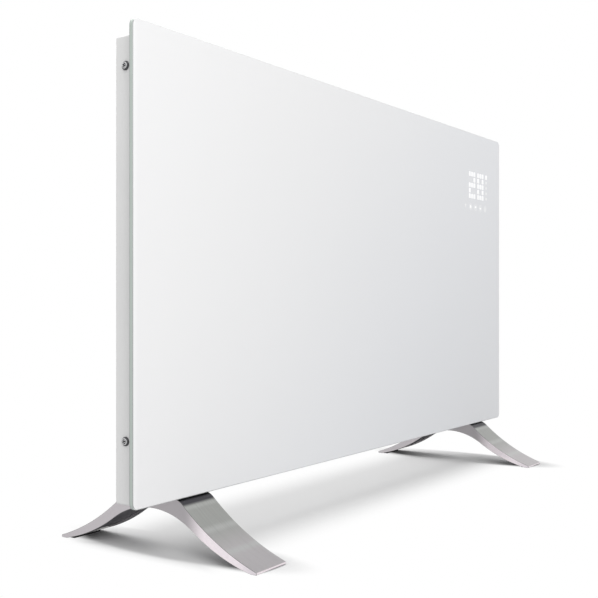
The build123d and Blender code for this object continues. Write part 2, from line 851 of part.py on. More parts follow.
with BuildPart() as thermal_cutout:
    with BuildSketch(front_plane(y_shield_back)):
        with Locations((shield_mid - cutout_offset, z_cutout)):
            SlotOverall(cutout_flange_length, cutout_flange_share * cutout_radius)
    extrude(amount=-cutout_flange_thickness)
    with BuildSketch(front_plane(y_shield_back)):
        with Locations((shield_mid - cutout_offset, z_cutout)):
            Circle(cutout_radius)
    extrude(amount=-cutout_body_height)
    with BuildSketch(front_plane(y_shield_back + cutout_body_height)):
        with Locations((shield_mid - cutout_offset, z_cutout)):
            with GridLocations(cutout_radius, 1, 2, 1):
                Rectangle(blade_thickness, blade_width)
    extrude(amount=-blade_length)


def saddle_clip(radius):
    """Sheet saddle over a probe that lies along Y on the XY plane."""
    with BuildPart() as clip:
        with BuildSketch(Plane.XZ):
            with Locations((0, radius + clip_steel)):
                Circle(radius + clip_steel)
            with Locations((0, clip_steel / 2)):
                Rectangle(2 * (radius + clip_foot), clip_steel)
            with Locations((0, radius + clip_steel)):
                Circle(radius + thread_play, mode=Mode.SUBTRACT)
        extrude(amount=clip_width / 2, both=True)
    return clip.part


def probe(radius, length):
    """Round probe along Y in the saddle's seat."""
    with BuildPart() as body:
        with BuildSketch(Plane.XZ):
            with Locations((0, radius + clip_steel)):
                Circle(radius)
        extrude(amount=length / 2, both=True)
    return body.part


fuse_plane = Plane(origin=(shield_mid + cutout_offset, y_shield_back, z_cutout),
                   x_dir=(0, 0, 1), z_dir=(0, 1, 0))
sensor_plane = Plane(origin=(housing_half - sensor_from_right, y_plate_back, z_low + sensor_rise),
                     x_dir=(-1, 0, 0), z_dir=(0, 1, 0))
fuse_parts = (probe(fuse_radius, fuse_length), saddle_clip(fuse_radius))
sensor_parts = (probe(sensor_radius, sensor_length), saddle_clip(sensor_radius))

with BuildPart() as thermal_fuse:
    add(copies(fuse_parts[0], [fuse_plane]))

with BuildPart() as thermal_fuse_clip:
    add(copies(fuse_parts[1], [fuse_plane]))

with BuildPart() as room_sensor:
    add(copies(sensor_parts[0], [sensor_plane]))

with BuildPart() as room_sensor_clip:
    add(copies(sensor_parts[1], [sensor_plane]))

# ------------------------------------------------------------------ display and touch row

y_display_front = y_glass_back + mask_depth
y_display_back = y_display_front + board_thickness
block_places = [
    (x_display + side * digit_pitch / 2 + column * block_pitch, z_display + row * block_pitch)
    for side in (-1, 1)
    for column in (-1, 0, 1)
    for row in range(-2, 3)
]
block_places.append((x_display + degree_offset, z_display + 2 * block_pitch))
indicator_places = [
    (x_display + degree_offset, z_display + row * block_pitch) for row in range(-2, 2)
]


with BuildPart() as display_light_mask:
    with BuildSketch(front_plane(y_display_front)):
        with Locations((x_mask, z_display)):
            Rectangle(mask_width, mask_height)
        with Locations(*block_places):
            Rectangle(block_size, block_size, mode=Mode.SUBTRACT)
        with Locations(*indicator_places):
            Circle(block_size / 4, mode=Mode.SUBTRACT)
    extrude(amount=mask_depth)

with BuildPart() as display_board:
    with BuildSketch(front_plane(y_display_back)):
        with Locations((x_display, z_display - display_board_drop)):
            Rectangle(display_board_width, display_board_height)
        with Locations(*display_corners):
            Circle(m3_radius + hole_play, mode=Mode.SUBTRACT)
    extrude(amount=board_thickness)

with BuildPart() as display_leds:
    with BuildSketch(front_plane(y_display_front)):
        with Locations(*block_places, *indicator_places):
            Rectangle(led_size, led_size)
    extrude(amount=led_height)

with BuildPart() as touch_pads:
    with BuildSketch(front_plane(y_display_front)):
        with Locations((x_touch, z_touch)):
            with GridLocations(touch_pitch, 1, touch_count, 1):
                Circle(touch_pad_radius)
    extrude(amount=mask_depth)

with BuildPart() as display_spacers:
    with BuildSketch(front_plane(y_display_front)):
        with Locations(*display_corners):
            Circle(spacer_radius)
            Circle(m3_radius + hole_play, mode=Mode.SUBTRACT)
    extrude(amount=y_display_front - y_plate_back)

m3_length = y_display_back - y_plate_back + 0.8 * steel
board_screw = pan_head_screw(m3_radius, m3_length, m3_head_radius, m3_head_height)
display_screw_planes = [
    Plane(origin=(x, y_display_back, z), x_dir=(-1, 0, 0), z_dir=(0, 1, 0))
    for x, z in display_corners
]

with BuildPart() as display_screws:
    add(copies(board_screw, display_screw_planes))

# ------------------------------------------------------------------ power electronics

x_power = housing_half - power_board_from_right
z_power = z_low + power_board_rise
y_tray_floor = y_plate_back + tray_floor
y_power_front = y_tray_floor + tray_post_height
y_power_back = y_power_front + board_thickness
power_corners = board_corners(power_board_width, power_board_height, x_power, z_power)
tray_width = power_board_width + 2 * (fit_gap + tray_wall)
tray_height = power_board_height + 2 * (fit_gap + tray_wall)

with BuildPart() as power_board_tray:
    with BuildSketch(front_plane(y_plate_back)):
        with Locations((x_power, z_power)):
            RectangleRounded(tray_width, tray_height, 2 * tray_wall)
    extrude(amount=-tray_floor)
    with BuildSketch(front_plane(y_tray_floor)):
        with Locations((x_power, z_power)):
            RectangleRounded(tray_width, tray_height, 2 * tray_wall)
            RectangleRounded(tray_width - 2 * tray_wall, tray_height - 2 * tray_wall, tray_wall,
                             mode=Mode.SUBTRACT)
    extrude(amount=-tray_wall_height)
    with BuildSketch(front_plane(y_tray_floor)):
        with Locations(*power_corners):
            Circle(tray_post_radius)
    extrude(amount=-tray_post_height)
    with BuildSketch(front_plane(y_power_front)):
        with Locations(*power_corners):
            Circle(m3_radius + thread_play)
    extrude(amount=tray_post_height, mode=Mode.SUBTRACT)

with BuildPart() as power_board:
    with BuildSketch(front_plane(y_power_back)):
        with Locations((x_power, z_power)):
            Rectangle(power_board_width, power_board_height)
        with Locations(*power_corners):
            Circle(m3_radius + hole_play, mode=Mode.SUBTRACT)
    extrude(amount=board_thickness)

power_screw_planes = [
    Plane(origin=(x, y_power_back, z), x_dir=(-1, 0, 0), z_dir=(0, 1, 0)) for x, z in power_corners
]

with BuildPart() as power_board_screws:
    add(copies(board_screw, power_screw_planes))

relay_place = (x_power - power_board_width * 0.22, z_power + power_board_height * 0.28)
module_place = (x_power + power_board_width * 0.24, z_power - power_board_height * 0.06)
capacitor_place = (x_power + power_board_width * 0.2, z_power + power_board_height * 0.3)
outlet_place = (x_power - power_board_width * 0.1, z_power - power_board_height * 0.38)

with BuildPart() as relays:
    with BuildSketch(front_plane(y_power_back)):
        with Locations(relay_place):
            with GridLocations(relay_pitch, 1, 2, 1):
                Rectangle(relay_width, relay_length)
    extrude(amount=-relay_height)

with BuildPart() as supply_module:
    with BuildSketch(front_plane(y_power_back)):
        with Locations(module_place):
            Rectangle(module_width, module_length)
    extrude(amount=-module_height)

with BuildPart() as smoothing_capacitor:
    with BuildSketch(front_plane(y_power_back)):
        with Locations(capacitor_place):
            Circle(capacitor_radius)
    extrude(amount=-capacitor_length)

with BuildPart() as output_terminals:
    with BuildSketch(front_plane(y_power_back)):
        with Locations(outlet_place):
            Rectangle(output_pitch * output_poles, output_depth)
    extrude(amount=-output_height)
    with BuildSketch(front_plane(y_power_back + output_height)):
        with Locations(outlet_place):
            with GridLocations(output_pitch, 1, output_poles, 1):
                Circle(m3_head_radius)
    extrude(amount=output_height / 3, mode=Mode.SUBTRACT)

# ------------------------------------------------------------------ mains side

x_block = housing_half - terminal_block_from_right
z_block = z_low + terminal_block_rise
pole_pitch = terminal_block_width / terminal_block_poles

with BuildPart() as terminal_block:
    with BuildSketch(front_plane(y_plate_back)):
        with Locations((x_block, z_block)):
            RectangleRounded(terminal_block_width, terminal_block_height, terminal_block_corner)
    extrude(amount=-terminal_block_depth)
    with BuildSketch(front_plane(y_plate_back + terminal_block_depth)):
        with Locations((x_block, z_block)):
            with GridLocations(pole_pitch, 1, terminal_block_poles, 1):
                Circle(m3_head_radius + hole_play)
    extrude(amount=terminal_block_depth / 3, mode=Mode.SUBTRACT)
    with BuildSketch(Plane.XY.offset(z_block)):
        with Locations((x_block, y_plate_back + terminal_block_depth / 3)):
            with GridLocations(pole_pitch, 1, terminal_block_poles, 1):
                Circle(m3_radius + thread_play)
    extrude(amount=terminal_block_height, both=True, mode=Mode.SUBTRACT)

with BuildPart() as terminal_screws:
    with BuildSketch(front_plane(y_plate_back + terminal_block_depth * 2 / 3)):
        with Locations((x_block, z_block)):
            with GridLocations(pole_pitch, 1, terminal_block_poles, 1):
                Circle(m3_head_radius)
    extrude(amount=-m3_head_height)
    with BuildSketch(front_plane(y_plate_back + terminal_block_depth * 2 / 3 + m3_head_height)):
        with Locations((x_block, z_block)):
            with GridLocations(pole_pitch, 1, terminal_block_poles, 1):
                Rectangle(2 * m3_head_radius, blade_thickness)
    extrude(amount=m3_head_height / 2, mode=Mode.SUBTRACT)

with BuildPart() as cable_gland:
    with BuildSketch(Plane.XY.offset(z_gland)):
        with BuildLine():
            snap_radius = gland_body_radius + hole_play + gland_snap
            y_inner = y_duct_back + gland_flange - gland_length
            Polyline((x_gland + gland_bore_radius, y_duct_back + gland_flange),
                     (x_gland + gland_flange_radius - gland_edge_break, y_duct_back + gland_flange),
                     (x_gland + gland_flange_radius, y_duct_back + gland_flange - gland_edge_break),
                     (x_gland + gland_flange_radius, y_duct_back),
                     (x_gland + gland_body_radius, y_duct_back),
                     (x_gland + gland_body_radius, y_duct_inner),
                     (x_gland + snap_radius, y_duct_inner),
                     (x_gland + gland_body_radius - gland_edge_break, y_inner),
                     (x_gland + gland_bore_radius, y_inner), close=True)
        make_face()
    revolve(axis=Axis((x_gland, 0, z_gland), (0, 1, 0)))

earth_places = [(x_block - terminal_block_width, z_block)]

with BuildPart() as earth_stud:
    with BuildSketch(front_plane(y_plate_back)):
        with Locations(*earth_places):
            Circle(terminal_radius)
    extrude(amount=-terminal_length)

with BuildPart() as earth_nut:
    add(copies(nut.part, [Plane(origin=(x, y_plate_back + terminal_nut_height, z),
                                x_dir=(-1, 0, 0), z_dir=(0, 1, 0)) for x, z in earth_places]))

# ------------------------------------------------------------------ power switch

switch_plane = Plane(origin=(x_switch, y_switch, z_switch), x_dir=(0, 1, 0), z_dir=(1, 0, 0))
x_pivot = x_switch + switch_flange - rocker_pivot_depth
rocker_turn = math.radians(rocker_face_angle)
pivot_plane = Plane(origin=(x_pivot, y_switch, z_switch),
                    x_dir=(math.cos(rocker_turn), 0, math.sin(rocker_turn)), z_dir=(0, -1, 0))

with BuildPart() as power_switch_body:
    with BuildSketch(switch_plane):
        RectangleRounded(switch_flange_width, switch_flange_height, switch_flange / 2)
    extrude(amount=switch_flange)
    chamfer(power_switch_body.faces().sort_by(Axis.X)[-1].edges(), length=switch_flange / 3)
    with BuildSketch(switch_plane):
        Rectangle(switch_body_width, switch_body_height)
    extrude(amount=-switch_body_depth)
    with BuildSketch(switch_plane.offset(switch_flange)):
        Rectangle(switch_well_width, switch_well_height)
    extrude(amount=-switch_well_depth, mode=Mode.SUBTRACT)
    with BuildSketch(Plane(origin=(x_pivot, y_switch, z_switch), z_dir=(0, -1, 0))):
        Circle(trunnion_radius + pin_play)
    extrude(amount=switch_body_width, both=True, mode=Mode.SUBTRACT)

with BuildPart() as power_switch_blades:
    with BuildSketch(switch_plane.offset(-switch_body_depth)):
        with GridLocations(1, switch_body_height / 3, 1, 3):
            Rectangle(blade_width, blade_thickness)
    extrude(amount=-blade_length)

with BuildPart() as power_switch_rocker:
    face_rise = rocker_radius * math.tan(rocker_turn)
    with BuildSketch(pivot_plane):
        Circle(rocker_radius)
        Polygon((-rocker_base, -rocker_radius), (rocker_crown + face_rise, -rocker_radius),
                (rocker_crown, 0), (rocker_crown + face_rise, rocker_radius),
                (-rocker_base, rocker_radius), align=None, mode=Mode.INTERSECT)
    extrude(amount=rocker_width / 2, both=True)
    with BuildSketch(pivot_plane):
        Circle(trunnion_radius)
    extrude(amount=rocker_width / 2 + trunnion_length, both=True)

# ------------------------------------------------------------------ tip-over switch

z_tilt = z_low + tilt_rise
x_ear = x_partition + steel
x_far_ear = x_ear + tilt_bracket_steel + tilt_bracket_gap
x_pendulum = x_ear + tilt_bracket_steel + tilt_bracket_gap / 2
z_bob = z_tilt - pendulum_arm
z_reed_top = z_bob - pendulum_bob_radius - reed_gap

with BuildPart() as tilt_bracket:
    with BuildSketch(front_plane(tilt_y)):
        with Locations((x_ear, z_tilt + tilt_crown)):
            Rectangle(tilt_bracket_steel, tilt_crown + tilt_back_drop,
                      align=(Align.MIN, Align.MAX))
            Rectangle(tilt_bracket_gap + 2 * tilt_bracket_steel, tilt_bracket_steel,
                      align=(Align.MIN, Align.MAX))
        with Locations((x_far_ear, z_tilt + tilt_crown)):
            Rectangle(tilt_bracket_steel, tilt_crown + tilt_ear_drop, align=(Align.MIN, Align.MAX))
    extrude(amount=tilt_bracket_width / 2, both=True)
    with BuildSketch(Plane.YZ.offset(x_ear)):
        with Locations((tilt_y, z_tilt)):
            Circle(pendulum_pin_radius + thread_play)
    extrude(amount=tilt_bracket_gap + 2 * tilt_bracket_steel, mode=Mode.SUBTRACT)

with BuildPart() as tilt_pin:
    with BuildSketch(Plane.YZ.offset(x_ear)):
        with Locations((tilt_y, z_tilt)):
            Circle(pendulum_pin_radius)
    extrude(amount=tilt_bracket_gap + 2 * tilt_bracket_steel)
    with BuildSketch(Plane.YZ.offset(x_far_ear + tilt_bracket_steel)):
        with Locations((tilt_y, z_tilt)):
            Circle(pin_head_radius)
    extrude(amount=pin_head)

with BuildPart() as tilt_pendulum:
    with BuildSketch(Plane.YZ.offset(x_pendulum)):
        with Locations((tilt_y, z_tilt)):
            Circle(pendulum_hub_radius)
            Rectangle(pendulum_arm_width, pendulum_arm, align=(Align.CENTER, Align.MAX))
        with Locations((tilt_y, z_bob)):
            Circle(pendulum_bob_radius)
        with Locations((tilt_y, z_tilt)):
            Circle(pendulum_pin_radius + pin_play, mode=Mode.SUBTRACT)
    extrude(amount=pendulum_width / 2, both=True)
    with BuildSketch(Plane.XY.offset(z_bob - pendulum_bob_radius)):
        with Locations((x_pendulum, tilt_y)):
            Circle(magnet_radius + thread_play)
    extrude(amount=magnet_height + steel, mode=Mode.SUBTRACT)

with BuildPart() as pendulum_magnet:
    with BuildSketch(Plane.XY.offset(z_bob - pendulum_bob_radius + steel)):
        with Locations((x_pendulum, tilt_y)):
            Circle(magnet_radius)
    extrude(amount=magnet_height)

with BuildPart() as reed_switch:
    with BuildSketch(Plane.XY.offset(z_reed_top)):
        with Locations((x_ear + tilt_bracket_steel, tilt_y)):
            Rectangle(reed_depth, reed_width, align=(Align.MIN, Align.CENTER))
    extrude(amount=-reed_height)

# ------------------------------------------------------------------ labels and files

pieces = {
    "front_glass": front_glass,
    "glass_bond_tape": glass_bond_tape,
    "front_plate": front_plate,
    "rear_cover": rear_cover,
    "cover_side_screws": cover_side_screws,
    "cover_edge_screws": cover_edge_screws,
    "keyhole_plates": keyhole_plates,
    "foot_left": foot_left,
    "foot_right": foot_right,
    "foot_pads": foot_pads,
    "foot_screws": foot_screws,
    "foot_nut_plates": foot_nut_plates,
    "control_bay_wall": control_bay_wall,
    "element_bracket": element_bracket,
    "lower_element": lower_element,
    "upper_element": upper_element,
    "element_rods": element_rods,
    "element_bushes": element_bushes,
    "element_terminals": element_terminals,
    "terminal_nuts": terminal_nuts,
    "heat_shield": heat_shield,
    "thermal_cutout": thermal_cutout,
    "thermal_fuse": thermal_fuse,
    "thermal_fuse_clip": thermal_fuse_clip,
    "room_sensor": room_sensor,
    "room_sensor_clip": room_sensor_clip,
    "display_light_mask": display_light_mask,
    "display_board": display_board,
    "display_leds": display_leds,
    "touch_pads": touch_pads,
    "display_spacers": display_spacers,
    "display_screws": display_screws,
    "power_board_tray": power_board_tray,
    "power_board": power_board,
    "power_board_screws": power_board_screws,
    "relays": relays,
    "supply_module": supply_module,
    "smoothing_capacitor": smoothing_capacitor,
    "output_terminals": output_terminals,
    "terminal_block": terminal_block,
    "terminal_screws": terminal_screws,
    "cable_gland": cable_gland,
    "earth_stud": earth_stud,
    "earth_nut": earth_nut,
    "power_switch_body": power_switch_body,
    "power_switch_blades": power_switch_blades,
    "power_switch_rocker": power_switch_rocker,
    "tilt_bracket": tilt_bracket,
    "tilt_pin": tilt_pin,
    "tilt_pendulum": tilt_pendulum,
    "pendulum_magnet": pendulum_magnet,
    "reed_switch": reed_switch,
}

for name, piece in pieces.items():
    piece.part.label = name
    export_step(piece.part, f"parts/{name}.step")
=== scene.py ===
# %% [markdown]
# # Dressing a glass panel convector
# The heater's pieces, sizes and joints come from a packed engineering model. This lesson gives
# them their looks: polished glass with light shining through it, powder coated steel, brushed
# aluminium feet. Nothing that the engineering model fixes is moved; a piece whose form needs
# more care than the plain solid has is made again in the same place and stands for it.

# %% Load the fixed frame
import json
import math
import bmesh
import bpy
from mathutils import Matrix, Vector


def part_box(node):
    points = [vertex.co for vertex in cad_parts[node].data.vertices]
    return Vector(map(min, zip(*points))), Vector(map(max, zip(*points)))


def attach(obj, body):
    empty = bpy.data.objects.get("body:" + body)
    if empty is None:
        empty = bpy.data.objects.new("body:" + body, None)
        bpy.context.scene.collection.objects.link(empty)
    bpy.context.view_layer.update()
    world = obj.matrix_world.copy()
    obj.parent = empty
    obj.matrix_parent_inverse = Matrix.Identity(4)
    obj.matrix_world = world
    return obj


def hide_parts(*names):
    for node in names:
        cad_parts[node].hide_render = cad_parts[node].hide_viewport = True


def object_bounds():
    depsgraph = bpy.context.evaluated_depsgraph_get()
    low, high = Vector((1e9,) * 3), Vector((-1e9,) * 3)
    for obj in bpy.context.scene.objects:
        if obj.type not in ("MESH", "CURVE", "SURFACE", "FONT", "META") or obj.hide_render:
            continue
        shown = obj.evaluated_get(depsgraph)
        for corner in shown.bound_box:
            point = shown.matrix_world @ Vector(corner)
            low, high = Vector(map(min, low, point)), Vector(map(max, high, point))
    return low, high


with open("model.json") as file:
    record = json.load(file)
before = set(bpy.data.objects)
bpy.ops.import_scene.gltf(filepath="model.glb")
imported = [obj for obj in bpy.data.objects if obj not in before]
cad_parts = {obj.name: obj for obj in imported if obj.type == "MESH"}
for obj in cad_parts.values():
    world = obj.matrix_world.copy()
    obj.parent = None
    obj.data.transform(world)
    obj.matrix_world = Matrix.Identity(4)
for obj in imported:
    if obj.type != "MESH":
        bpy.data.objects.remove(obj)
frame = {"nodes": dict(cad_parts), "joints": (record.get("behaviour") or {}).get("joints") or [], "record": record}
cad_low, cad_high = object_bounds()
MM = 0.001
print("frame box in mm:", [round(v / MM) for v in (*cad_low, *cad_high)])

# %% [markdown]
# ## Where things are
# Places could be typed in, but then a change of the engineering model would leave the looks
# behind. So every later place is read from it: the glass front's box, the feet, the switch. The
# handful of distances that it doesn't hold, such as where a figure on the display sits, are
# measured from the glass's right and lower edges, as on a drawing.

# %% Read the main places from the frame
glass_low, glass_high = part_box("front_glass")
foot_low, foot_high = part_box("foot_left")
floor_z = cad_low.z
print("glass in mm:", [round(v / MM, 1) for v in (*glass_low, *glass_high)])

# %% [markdown]
# ## The camera
# The picture was taken from the front left, level with the middle of the panel. A camera could
# be turned by eye until it fits. Here its place was worked out from the perspective of the
# glass's corners, because only the true distance gives both ends their sizes. It stays level,
# which keeps upright edges parallel, so all the perspective is in the long edges.

# %% Place the camera
IMAGE_WIDTH_PX = 598
FOCAL_LENGTH_PX = 965
HORIZON_BELOW_MIDDLE_PX = 0.35
SENSOR_WIDTH_MM = 36
CAMERA_PLACE = Vector((-1.0379, -0.6362, 0.2452))
CAMERA_YAW = math.radians(55.79)

camera_data = bpy.data.cameras.new("camera")
camera_data.sensor_width = SENSOR_WIDTH_MM
camera_data.lens = FOCAL_LENGTH_PX / IMAGE_WIDTH_PX * SENSOR_WIDTH_MM
camera_data.shift_y = HORIZON_BELOW_MIDDLE_PX / IMAGE_WIDTH_PX
camera = bpy.data.objects.new("camera", camera_data)
camera.location = CAMERA_PLACE
camera.rotation_euler = (math.radians(90), 0, -CAMERA_YAW)
bpy.context.scene.collection.objects.link(camera)
bpy.context.scene.camera = camera
print("lens in mm:", round(camera_data.lens, 1))

# %% [markdown]
# ## Writing nodes as sums
# A finish is a small calculation: where am I, how rough is it here, how bright. Set up by hand,
# its nodes fill a page. Here one class wraps a node's output, so that Python's own signs add the
# maths nodes, and one method makes every other kind of node, in materials, in the world and in
# geometry trees alike.

# %% A value that can be calculated with
class Value:
    """One output of a node. Adding, subtracting and so on puts a Math node behind it."""

    def __init__(self, nodes, socket):
        self.nodes = nodes
        self.socket = socket

    def maths(self, operation, *numbers):
        return self.nodes.node("ShaderNodeMath", {"operation": operation}, dict(enumerate(numbers)))

    def __add__(self, other):
        return self.maths("ADD", self, other)

    def __radd__(self, other):
        return self.maths("ADD", other, self)

    def __sub__(self, other):
        return self.maths("SUBTRACT", self, other)

    def __rsub__(self, other):
        return self.maths("SUBTRACT", other, self)

    def __mul__(self, other):
        return self.maths("MULTIPLY", self, other)

    def __rmul__(self, other):
        return self.maths("MULTIPLY", other, self)

    def __truediv__(self, other):
        return self.maths("DIVIDE", self, other)

    def __rtruediv__(self, other):
        return self.maths("DIVIDE", other, self)

    def __gt__(self, other):
        return self.maths("GREATER_THAN", self, other)

    def __lt__(self, other):
        return self.maths("LESS_THAN", self, other)

    def __abs__(self):
        return self.maths("ABSOLUTE", self)

    def larger(self, other):
        return self.maths("MAXIMUM", self, other)

    def smaller(self, other):
        return self.maths("MINIMUM", self, other)

    def root(self):
        return self.maths("SQRT", self)

    def fraction(self):
        return self.maths("FRACT", self)


# %% A tree and the one way of adding to it
class Nodes:
    """A node tree under construction."""

    def __init__(self, tree):
        self.tree = tree

    def feed(self, socket, value):
        """Links a Value to a socket, or sets anything else on the socket itself."""
        if isinstance(value, Value):
            self.tree.links.new(value.socket, socket)
        else:
            socket.default_value = value

    def node(self, kind, settings, inputs, output=0):
        """Adds a node, its settings first and then its sockets, and returns one output of it."""
        made = self.tree.nodes.new(kind)
        for name, value in settings.items():
            setattr(made, name, value)
        for name, value in inputs.items():
            self.feed(made.inputs[name], value)
        if made.outputs:
            return Value(self, made.outputs[output])


# %% A finish: one surface and the nodes that feed it
MIX_SHARE, MIX_FIRST, MIX_SECOND, MIX_RESULT = 0, 6, 7, 2      # a Mix node's sockets for colours


class Finish(Nodes):
    """A material under construction, with its principled surface ready."""

    def __init__(self, name):
        self.material = bpy.data.materials.new(name)
        self.material.use_nodes = True
        super().__init__(self.material.node_tree)
        self.surface = self.tree.nodes["Principled BSDF"]

    def give(self, socket, value):
        """Feeds a socket of the principled surface."""
        self.feed(self.surface.inputs[socket], value)

    def place(self, axis):
        """The point's own x, y or z on the object, in metres."""
        point = self.node("ShaderNodeTexCoord", {}, {}, "Object")
        return self.node("ShaderNodeSeparateXYZ", {}, {"Vector": point}, axis)

    def facing(self, axis):
        """How far the surface faces along X, Y or Z, from -1 to 1."""
        normal = self.node("ShaderNodeTexCoord", {}, {}, "Normal")
        return self.node("ShaderNodeSeparateXYZ", {}, {"Vector": normal}, axis)

    def noise(self, scale, detail=2.0, roughness=0.5):
        """Random variation round 0.5; scale is in features per metre, one number or three."""
        steps = scale if isinstance(scale, tuple) else (scale, scale, scale)
        point = self.node("ShaderNodeTexCoord", {}, {}, "Object")
        stretched = self.node("ShaderNodeMapping", {}, {"Vector": point, "Scale": steps})
        return self.node("ShaderNodeTexNoise", {}, {"Vector": stretched, "Scale": 1.0,
                                                    "Detail": detail, "Roughness": roughness})

    def ramp(self, value, low, high, to_low=0.0, to_high=1.0):
        """Smooth step of a value from one range to another."""
        return self.node("ShaderNodeMapRange", {"interpolation_type": "SMOOTHSTEP"},
                         {"Value": value, "From Min": low, "From Max": high, "To Min": to_low,
                          "To Max": to_high})

    def spread(self, noise, reach):
        """The middle of a noise, so far to either side of 0.5, spread over 0 to 1."""
        return self.ramp(noise, 0.5 - reach, 0.5 + reach)

    def band(self, value, centre, half_width):
        """1 at the centre, falling softly to 0 at half a width to either side."""
        return self.ramp(abs(value - centre), half_width, 0.0)

    def mix(self, share, first, second):
        """Colour between two colours; share may be a number or a Value."""
        return self.node("ShaderNodeMix", {"data_type": "RGBA"},
                         {MIX_SHARE: share, MIX_FIRST: first, MIX_SECOND: second}, MIX_RESULT)

    def relief(self, height, depth):
        """Bump of the given depth in metres, driven by a height from 0 to 1."""
        self.give("Normal", self.node("ShaderNodeBump", {}, {"Height": height, "Distance": depth,
                                                             "Strength": 1.0}, "Normal"))


def swing(noise, reach):
    """Noise round 0 in place of 0.5, from half the reach below to half above."""
    return (noise - 0.5) * reach


def rgb(red, green=None, blue=None):
    """Colour for a socket; one number gives a grey."""
    return (red, red if green is None else green, red if blue is None else blue, 1.0)


def shade(colour, factor):
    """The same colour, lighter or darker."""
    return rgb(*[min(1.0, channel * factor) for channel in colour[:3]])


# %% [markdown]
# ## Studio
# The heater stands on white paper against white. More light could bleach both, but it would
# bleach the heater too. So the paper has a pale colour of its own, which keeps the soft shadows
# near the panel and the feet, and further out it fades into flat white. The flat white is there
# for the camera and for reflections alone; as a light on the heater, paper and sky are dimmer.

# %% What looks straight at the background
def looked_at(nodes):
    """1 for a ray from the camera, off a glossy surface or through glass, otherwise 0."""
    camera_ray, glossy_ray, passing_ray = [
        nodes.node("ShaderNodeLightPath", {}, {}, kind)
        for kind in ("Is Camera Ray", "Is Glossy Ray", "Is Transmission Ray")]
    return camera_ray.larger(glossy_ray).larger(passing_ray)


# %% Floor sheet
FLOOR_HALF = 6.0

floor_mesh = bpy.data.meshes.new("floor")
floor_corners = [(x * FLOOR_HALF, y * FLOOR_HALF, floor_z)
                 for x, y in ((-1, -1), (1, -1), (1, 1), (-1, 1))]
floor_mesh.from_pydata(floor_corners, [], [(0, 1, 2, 3)])
floor = bpy.data.objects.new("floor", floor_mesh)
bpy.context.scene.collection.objects.link(floor)
print("floor in m:", 2 * FLOOR_HALF, "square")

# %% Where the paper keeps its own shade
PANEL_SIDE_FROM, PANEL_SIDE_TO = 0.035, 0.115     # metres to either side of the panel
PANEL_END_FROM, PANEL_END_TO = 0.335, 0.375       # metres from the panel's middle to its ends
FOOT_FROM, FOOT_TO = 0.12, 0.17                   # metres from a foot's middle along its length
FOOT_NARROWER = 3.4                               # times less far across the foot than along it
SHIFT = 0.016                                     # metres, away from the key lamp

paper = Finish("studio_paper")
paper_x = paper.place("X")
paper_y = paper.place("Y")
foot_middle_x = abs(foot_low.x + foot_high.x) / 2
past_side = paper.ramp(abs(paper_y - SHIFT), PANEL_SIDE_FROM, PANEL_SIDE_TO)
past_end = paper.ramp(abs(paper_x), PANEL_END_FROM, PANEL_END_TO)
across_foot = (abs(paper_x - SHIFT) - foot_middle_x) * FOOT_NARROWER
from_foot = (across_foot * across_foot + paper_y * paper_y).root()
past_foot = paper.ramp(from_foot, FOOT_FROM, FOOT_TO)
fade = past_side.larger(past_end).smaller(past_foot)
print("feet in mm from the middle:", round(foot_middle_x / MM, 1))

# %% Paper
PAPER_COLOUR = rgb(0.77)
PAPER_COLOUR_AS_LIGHT = rgb(0.50, 0.50, 0.51)
PAPER_LIFT = 0.01
PAPER_ROUGHNESS = 0.9

seen = looked_at(paper)
paper.give("Base Color", paper.mix(seen, PAPER_COLOUR_AS_LIGHT, PAPER_COLOUR))
paper.give("Roughness", PAPER_ROUGHNESS)
paper.give("Specular IOR Level", 0.0)
paper.give("Emission Color", rgb(PAPER_LIFT))
paper.give("Emission Strength", 1.0)
shaded = Value(paper, paper.surface.outputs[0])
flat_white = paper.node("ShaderNodeEmission", {}, {"Color": rgb(1.0), "Strength": 1.0})
whole_paper = paper.node("ShaderNodeMixShader", {}, {0: fade * seen, 1: shaded, 2: flat_white})
paper.feed(paper.tree.nodes["Material Output"].inputs["Surface"], whole_paper)
floor_mesh.materials.append(paper.material)
print("paper nodes:", len(paper.tree.nodes))

# %% World: white to look at, softer as a light
WORLD_LIGHT = 0.60

world = bpy.data.worlds.new("studio")
bpy.context.scene.world = world
world.use_nodes = True
sky = Nodes(world.node_tree)
background = world.node_tree.nodes["Background"]
sky.feed(background.inputs["Color"], rgb(1.0))
sky.feed(background.inputs["Strength"], WORLD_LIGHT + looked_at(sky) * (1 - WORLD_LIGHT))
print("world nodes:", len(world.node_tree.nodes))

# %% [markdown]
# ## Lamps
# The light falls from the front left, with little shadow, so it comes from large soft boxes.
# A sun lamp would be simpler but gives hard shadows and one even tone over the whole panel. A key
# near the front left makes the panel darker towards its far end. One lamp above and one behind
# show the forms of the other sides. All are as low as keeps a white surface just below white.

# %% Soft boxes
LAMPS = {            # place, target, width in metres, watts
    "key": ((-1.6, -1.3, 1.2), (-0.2, 0, 0.3), 1.2, 27),
    "overhead": ((-0.3, 0.25, 1.9), (-0.1, 0.1, 0), 1.8, 9),
    "rear": ((0.3, 1.3, 1.2), (0.0, 0.1, 0), 1.4, 14),
}


def soft_box(name, place, target, size, watts):
    """A square area light that looks at a target."""
    data = bpy.data.lights.new(name, "AREA")
    data.size = size
    data.energy = watts
    lamp = bpy.data.objects.new(name, data)
    lamp.location = place
    lamp.rotation_euler = (Vector(target) - Vector(place)).to_track_quat("-Z", "Y").to_euler()
    bpy.context.scene.collection.objects.link(lamp)


for lamp_name, values in LAMPS.items():
    soft_box(lamp_name, *values)
bpy.context.scene.view_settings.view_transform = "Standard"

